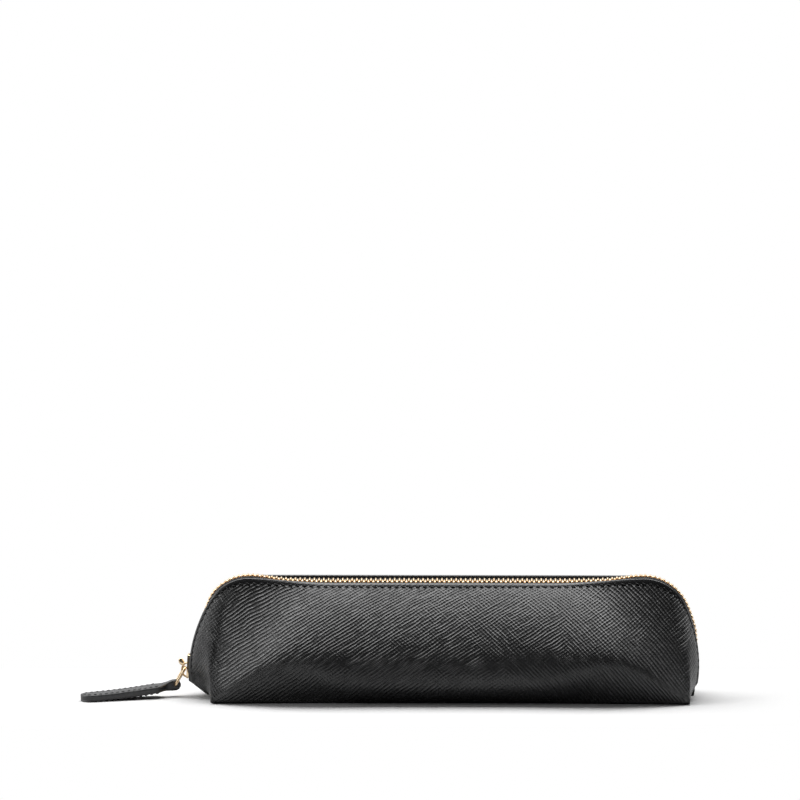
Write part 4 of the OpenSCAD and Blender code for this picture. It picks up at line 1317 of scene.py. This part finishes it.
def pullStrap():
    # One strap folded round the link's lower rod: along the top to the rod, round it, back along the underside.
    spread = pull["length"] * (1 - np.linspace(0, 1, 70) ** 1.5)
    d = np.concatenate([pull["length"] - np.array([0.004, 0.03]) * mm, spread[1:-1] * 0.9985, [0.0]])
    swell = 0.5 * (1 + np.cos(math.pi * np.clip(d / pull["neckRun"], 0, 1)))
    outer = pull["thick"] / 2 + pull["neckHigher"] * swell
    inner = np.sqrt(np.clip(pull["eye"] ** 2 - d ** 2, 0, None))
    fan = np.linspace(math.pi / 2, -math.pi / 2, 19)[1:-1]
    ends = np.ones(len(fan))
    outerAll = np.concatenate([outer, ends * outer[-1], outer[::-1]])
    innerAll = np.concatenate([inner, ends * pull["eye"], inner[::-1]])
    dAll = np.concatenate([d, 0 * ends, d[::-1]])
    wide = tabWide(dAll)
    flat = overRun(dAll, pull["flattens"])
    crown = pull["crown"] * flat * np.clip(wide / (3 * mm), 0, 1)
    y, lift, painted, onFace = strapSection(wide, innerAll, outerAll, crown, pull["stitchPinch"] * flat)
    # The neck gathers in small folds that run along the strap.
    gather = pull["gather"] * np.clip(1 - dAll / pull["gatherRun"], 0, 1)[:, None]
    lift = lift + gather * onFace[None, :] * np.sin(y * 5000 + 1.0 + dAll[:, None] * 300)
    x, z = np.empty_like(lift), np.empty_like(lift)
    n, m = len(d), len(fan)
    x[:n], z[:n] = tabLine(d[:, None], lift[:n])
    x[n + m:], z[n + m:] = tabLine(d[::-1, None], -lift[n + m:])
    turned = fan[:, None] + tabStart
    x[n:n + m], z[n:n + m] = lift[n:n + m] * np.cos(turned), lift[n:n + m] * np.sin(turned)
    rings = np.stack([x, y, z], -1)
    run = np.concatenate([[0], np.cumsum(np.hypot(np.diff(x[:, 20]), np.diff(z[:, 20])))])
    uv = np.stack([np.repeat(run[:, None], y.shape[1], 1), y], -1)
    rings = swung(rings, pull["yaw"], 0.0, tabAt)
    rings[..., 2] = np.maximum(rings[..., 2], pull["lowest"])
    points, faces = ringFaces(rings)
    masks = {"smoothEdge": withEnds(np.broadcast_to(painted[None, :], y.shape))}
    piece = makePiece("pullStrap", points, faces, tabLeather, withEnds(uv), masks)
    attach(piece, "tab")
    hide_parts("pull_tab")


def pullSeam():
    # Stitches down one edge, round the tip and back, on the top and on the underside.
    r, inset = pull["wide"] / 2, pull["stitchInset"]
    bend = r - inset
    straight = pull["length"] - r - pull["stitchFrom"]
    total = 2 * straight + math.pi * bend
    q = np.linspace(0, total, int(total / pull["stitchPitch"]) + 1)
    onBend = np.clip((q - straight) / bend, 0, math.pi)
    back = np.clip(q - straight - math.pi * bend, 0, None)
    d = pull["stitchFrom"] + np.minimum(q, straight) + bend * np.sin(onBend) - back
    y = -bend * np.cos(onBend)
    heading = np.stack([np.cos(onBend), np.sin(onBend)], -1)
    points, faces = [], []
    for side, proud, dip in ((1, 1.24 * mm, 0.16 * mm), (-1, 1.42 * mm, 0.40 * mm)):
        shape, shapeFaces, shapeMap = stitchShape(pull["stitchLong"], pull["stitchThread"], dip)
        x, z = tabLine(d, side * proud)
        a = tabStart - d / tabBend
        ahead = np.stack([-np.cos(a), np.zeros_like(a), -np.sin(a)], -1)
        up = np.stack([-np.sin(a), np.zeros_like(a), np.cos(a)], -1) * side
        straightOn = ahead * heading[:, :1] + np.array([0, 1, 0]) * heading[:, 1:]
        aside = np.cross(up, straightOn)
        slant = pull["stitchSlant"]
        along = straightOn * math.cos(slant) + aside * math.sin(slant)
        across = aside * math.cos(slant) - straightOn * math.sin(slant)
        axes = np.stack([along, across, up], 1)
        placed, placedFaces = repeated(shape, shapeFaces, np.stack([x, y, z], -1), axes)
        faces += [[k + len(placed) * (side < 0) for k in f] for f in placedFaces]
        points.append(placed)
    points = swung(np.concatenate(points), pull["yaw"], 0.0, tabAt)
    points[:, 2] = np.maximum(points[:, 2], pull["lowest"])
    piece = makePiece("pullSeam", points, faces, sewingThread, np.tile(shapeMap, (2 * len(q), 1)))
    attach(piece, "tab")
    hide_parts("pull_tab_stitching")


pullStrap()
pullSeam()
print("pull hung")

camera = {
    "sensor": 36,
    "distance": 1.6,
    "elevation": math.radians(9.0),
    "azimuth": math.radians(0.0),
    "pixelsPerMetre": 2490,
    "frameSide": 800,
    "caseMiddle": (450.6, 640.0),
    "target": (0, -6 * mm, 24 * mm),
}
shot = bpy.data.objects.new("shot", bpy.data.cameras.new("shot"))
scene.collection.objects.link(shot)
scene.camera = shot
shot.data.sensor_width = camera["sensor"]
shot.data.lens = camera["sensor"] * camera["distance"] * camera["pixelsPerMetre"] / camera["frameSide"]
shot.data.clip_end = 50
el, az = camera["elevation"], camera["azimuth"]
towards = np.array([math.sin(az) * math.cos(el), -math.cos(az) * math.cos(el), math.sin(el)])
right = np.array([math.cos(az), math.sin(az), 0])
up = np.cross(right, -towards)
place = np.array(camera["target"]) + towards * camera["distance"]
# The frame's middle lies beside the case: the aim is moved by that many pixels.
offRight = (camera["frameSide"] / 2 - camera["caseMiddle"][0]) / camera["pixelsPerMetre"]
offUp = (camera["caseMiddle"][1] - camera["frameSide"] / 2) / camera["pixelsPerMetre"]
look = np.array(camera["target"]) + right * offRight + up * offUp - place


def lookingAlong(place, way):
    # Stands at a place and faces along a direction, with its top upwards.
    return Matrix.Translation(Vector(place)) @ Vector(way).to_track_quat("-Z", "Y").to_matrix().to_4x4()


shot.matrix_world = lookingAlong(place, look)

paper = {
    "size": 6.0,
    "seen": (0.965, 0.985),
    "near": 0.75,
    "dimmed": 0.04,
    "nearY": -40 * mm,
    "farY": -62 * mm,
    "middleX": -22 * mm,
    "halfLength": 126 * mm,
    "halfWidth": 20 * mm,
    "whiteBetween": (14 * mm, 50 * mm),
}


def paperFloor():
    # White paper that keeps the shadow close to the case and is plain white further off.
    # In front it darkens for everything but the eye: painted shade standing in for the dark room on the camera's
    # side, in reflections and bounced light.
    half = paper["size"] / 2
    mesh = bpy.data.meshes.new("floor")
    mesh.from_pydata([(-half, -half, 0), (half, -half, 0), (half, half, 0), (-half, half, 0)], [], [(0, 1, 2, 3)])
    floor = bpy.data.objects.new("floor", mesh)
    scene.collection.objects.link(floor)
    material, tree, shader = nodeTree("whitePaper")
    place = addNode(tree, "ShaderNodeTexCoord").outputs["Object"]
    xyz = addNode(tree, "ShaderNodeSeparateXYZ", {}, {0: place})
    grain = noiseAt(tree, place, 900, 3.0)
    rays = addNode(tree, "ShaderNodeLightPath")
    # Painted shade: for all rays but the eye's the paper is darker, and darkest in front.
    dark = mapRange(tree, xyz.outputs["Y"], paper["farY"], paper["nearY"], paper["dimmed"], paper["near"])
    seen = mapRange(tree, grain.outputs[0], 0.3, 0.7, *paper["seen"], "LINEAR")
    level = addNode(tree, "ShaderNodeMix", {"data_type": "FLOAT"},
                    {0: rays.outputs["Is Camera Ray"], 2: dark, 3: seen}).outputs[0]
    tree.links.new(addNode(tree, "ShaderNodeCombineColor", {}, {0: level, 1: level, 2: level}).outputs[0],
                   shader.inputs["Base Color"])
    shader.inputs["Roughness"].default_value = 0.9
    shader.inputs["Specular IOR Level"].default_value = 0.1
    # Distance outside the case's footprint, in its length and its width.
    fromMiddle = mathNode(tree, "SUBTRACT", xyz.outputs["X"], paper["middleX"])
    outX = mathNode(tree, "SUBTRACT", mathNode(tree, "ABSOLUTE", fromMiddle), paper["halfLength"])
    outY = mathNode(tree, "SUBTRACT", mathNode(tree, "ABSOLUTE", xyz.outputs["Y"]), paper["halfWidth"])
    far = mathNode(tree, "MAXIMUM", outX, outY)
    plain = mathNode(tree, "MULTIPLY", mapRange(tree, far, *paper["whiteBetween"]), rays.outputs["Is Camera Ray"])
    white = addNode(tree, "ShaderNodeEmission", {}, {"Color": (1, 1, 1, 1), "Strength": 1.0})
    mixed = addNode(tree, "ShaderNodeMixShader", {}, {0: plain, 1: shader.outputs[0], 2: white.outputs[0]})
    tree.links.new(mixed.outputs[0], tree.nodes["Material Output"].inputs["Surface"])
    mesh.materials.append(material)


paperFloor()

lamps = {
    "overhead": {"at": (-0.28, 0.27, 0.90), "size": (2.0, 0.80), "power": 17.5, "aim": (-0.28, 0.27, 0.0)},
    "leftPanel": {"at": (-0.95, -0.34, 0.55), "size": (0.5, 0.5), "power": 2.0, "aim": (-0.09, 0, 0.02)},
}
for name, lamp in lamps.items():
    data = bpy.data.lights.new(name, "AREA")
    data.shape = "RECTANGLE"
    data.size, data.size_y = lamp["size"]
    data.energy = lamp["power"]
    box = bpy.data.objects.new(name, data)
    scene.collection.objects.link(box)
    box.matrix_world = lookingAlong(lamp["at"], Vector(lamp["aim"]) - Vector(lamp["at"]))

studio = {"fill": 0.02, "behindCamera": 0.07, "background": 1.0, "darkY": -0.25, "lightY": 0.45}


def studioWorld():
    # White to the eye; reflections see the white background too, and a dark room on the side of the camera.
    world = bpy.data.worlds.new("studio")
    scene.world = world
    world.use_nodes = True
    tree = world.node_tree
    sky = tree.nodes["Background"]
    rays = addNode(tree, "ShaderNodeLightPath")
    place = addNode(tree, "ShaderNodeTexCoord").outputs["Generated"]
    way = addNode(tree, "ShaderNodeSeparateXYZ", {}, {0: place})
    mirror = mathNode(tree, "MAXIMUM", rays.outputs["Is Glossy Ray"], rays.outputs["Is Transmission Ray"])
    room = mapRange(tree, way.outputs["Y"], studio["darkY"], studio["lightY"],
                    studio["behindCamera"], studio["background"])
    lit = addNode(tree, "ShaderNodeMix", {"data_type": "FLOAT"}, {0: mirror, 2: studio["fill"], 3: room}).outputs[0]
    level = addNode(tree, "ShaderNodeMix", {"data_type": "FLOAT"},
                    {0: rays.outputs["Is Camera Ray"], 2: lit, 3: 1.0}).outputs[0]
    tree.links.new(level, sky.inputs["Strength"])
    sky.inputs["Color"].default_value = (1, 1, 1, 1)


studioWorld()
scene.view_settings.view_transform = "Standard"
print("lit")
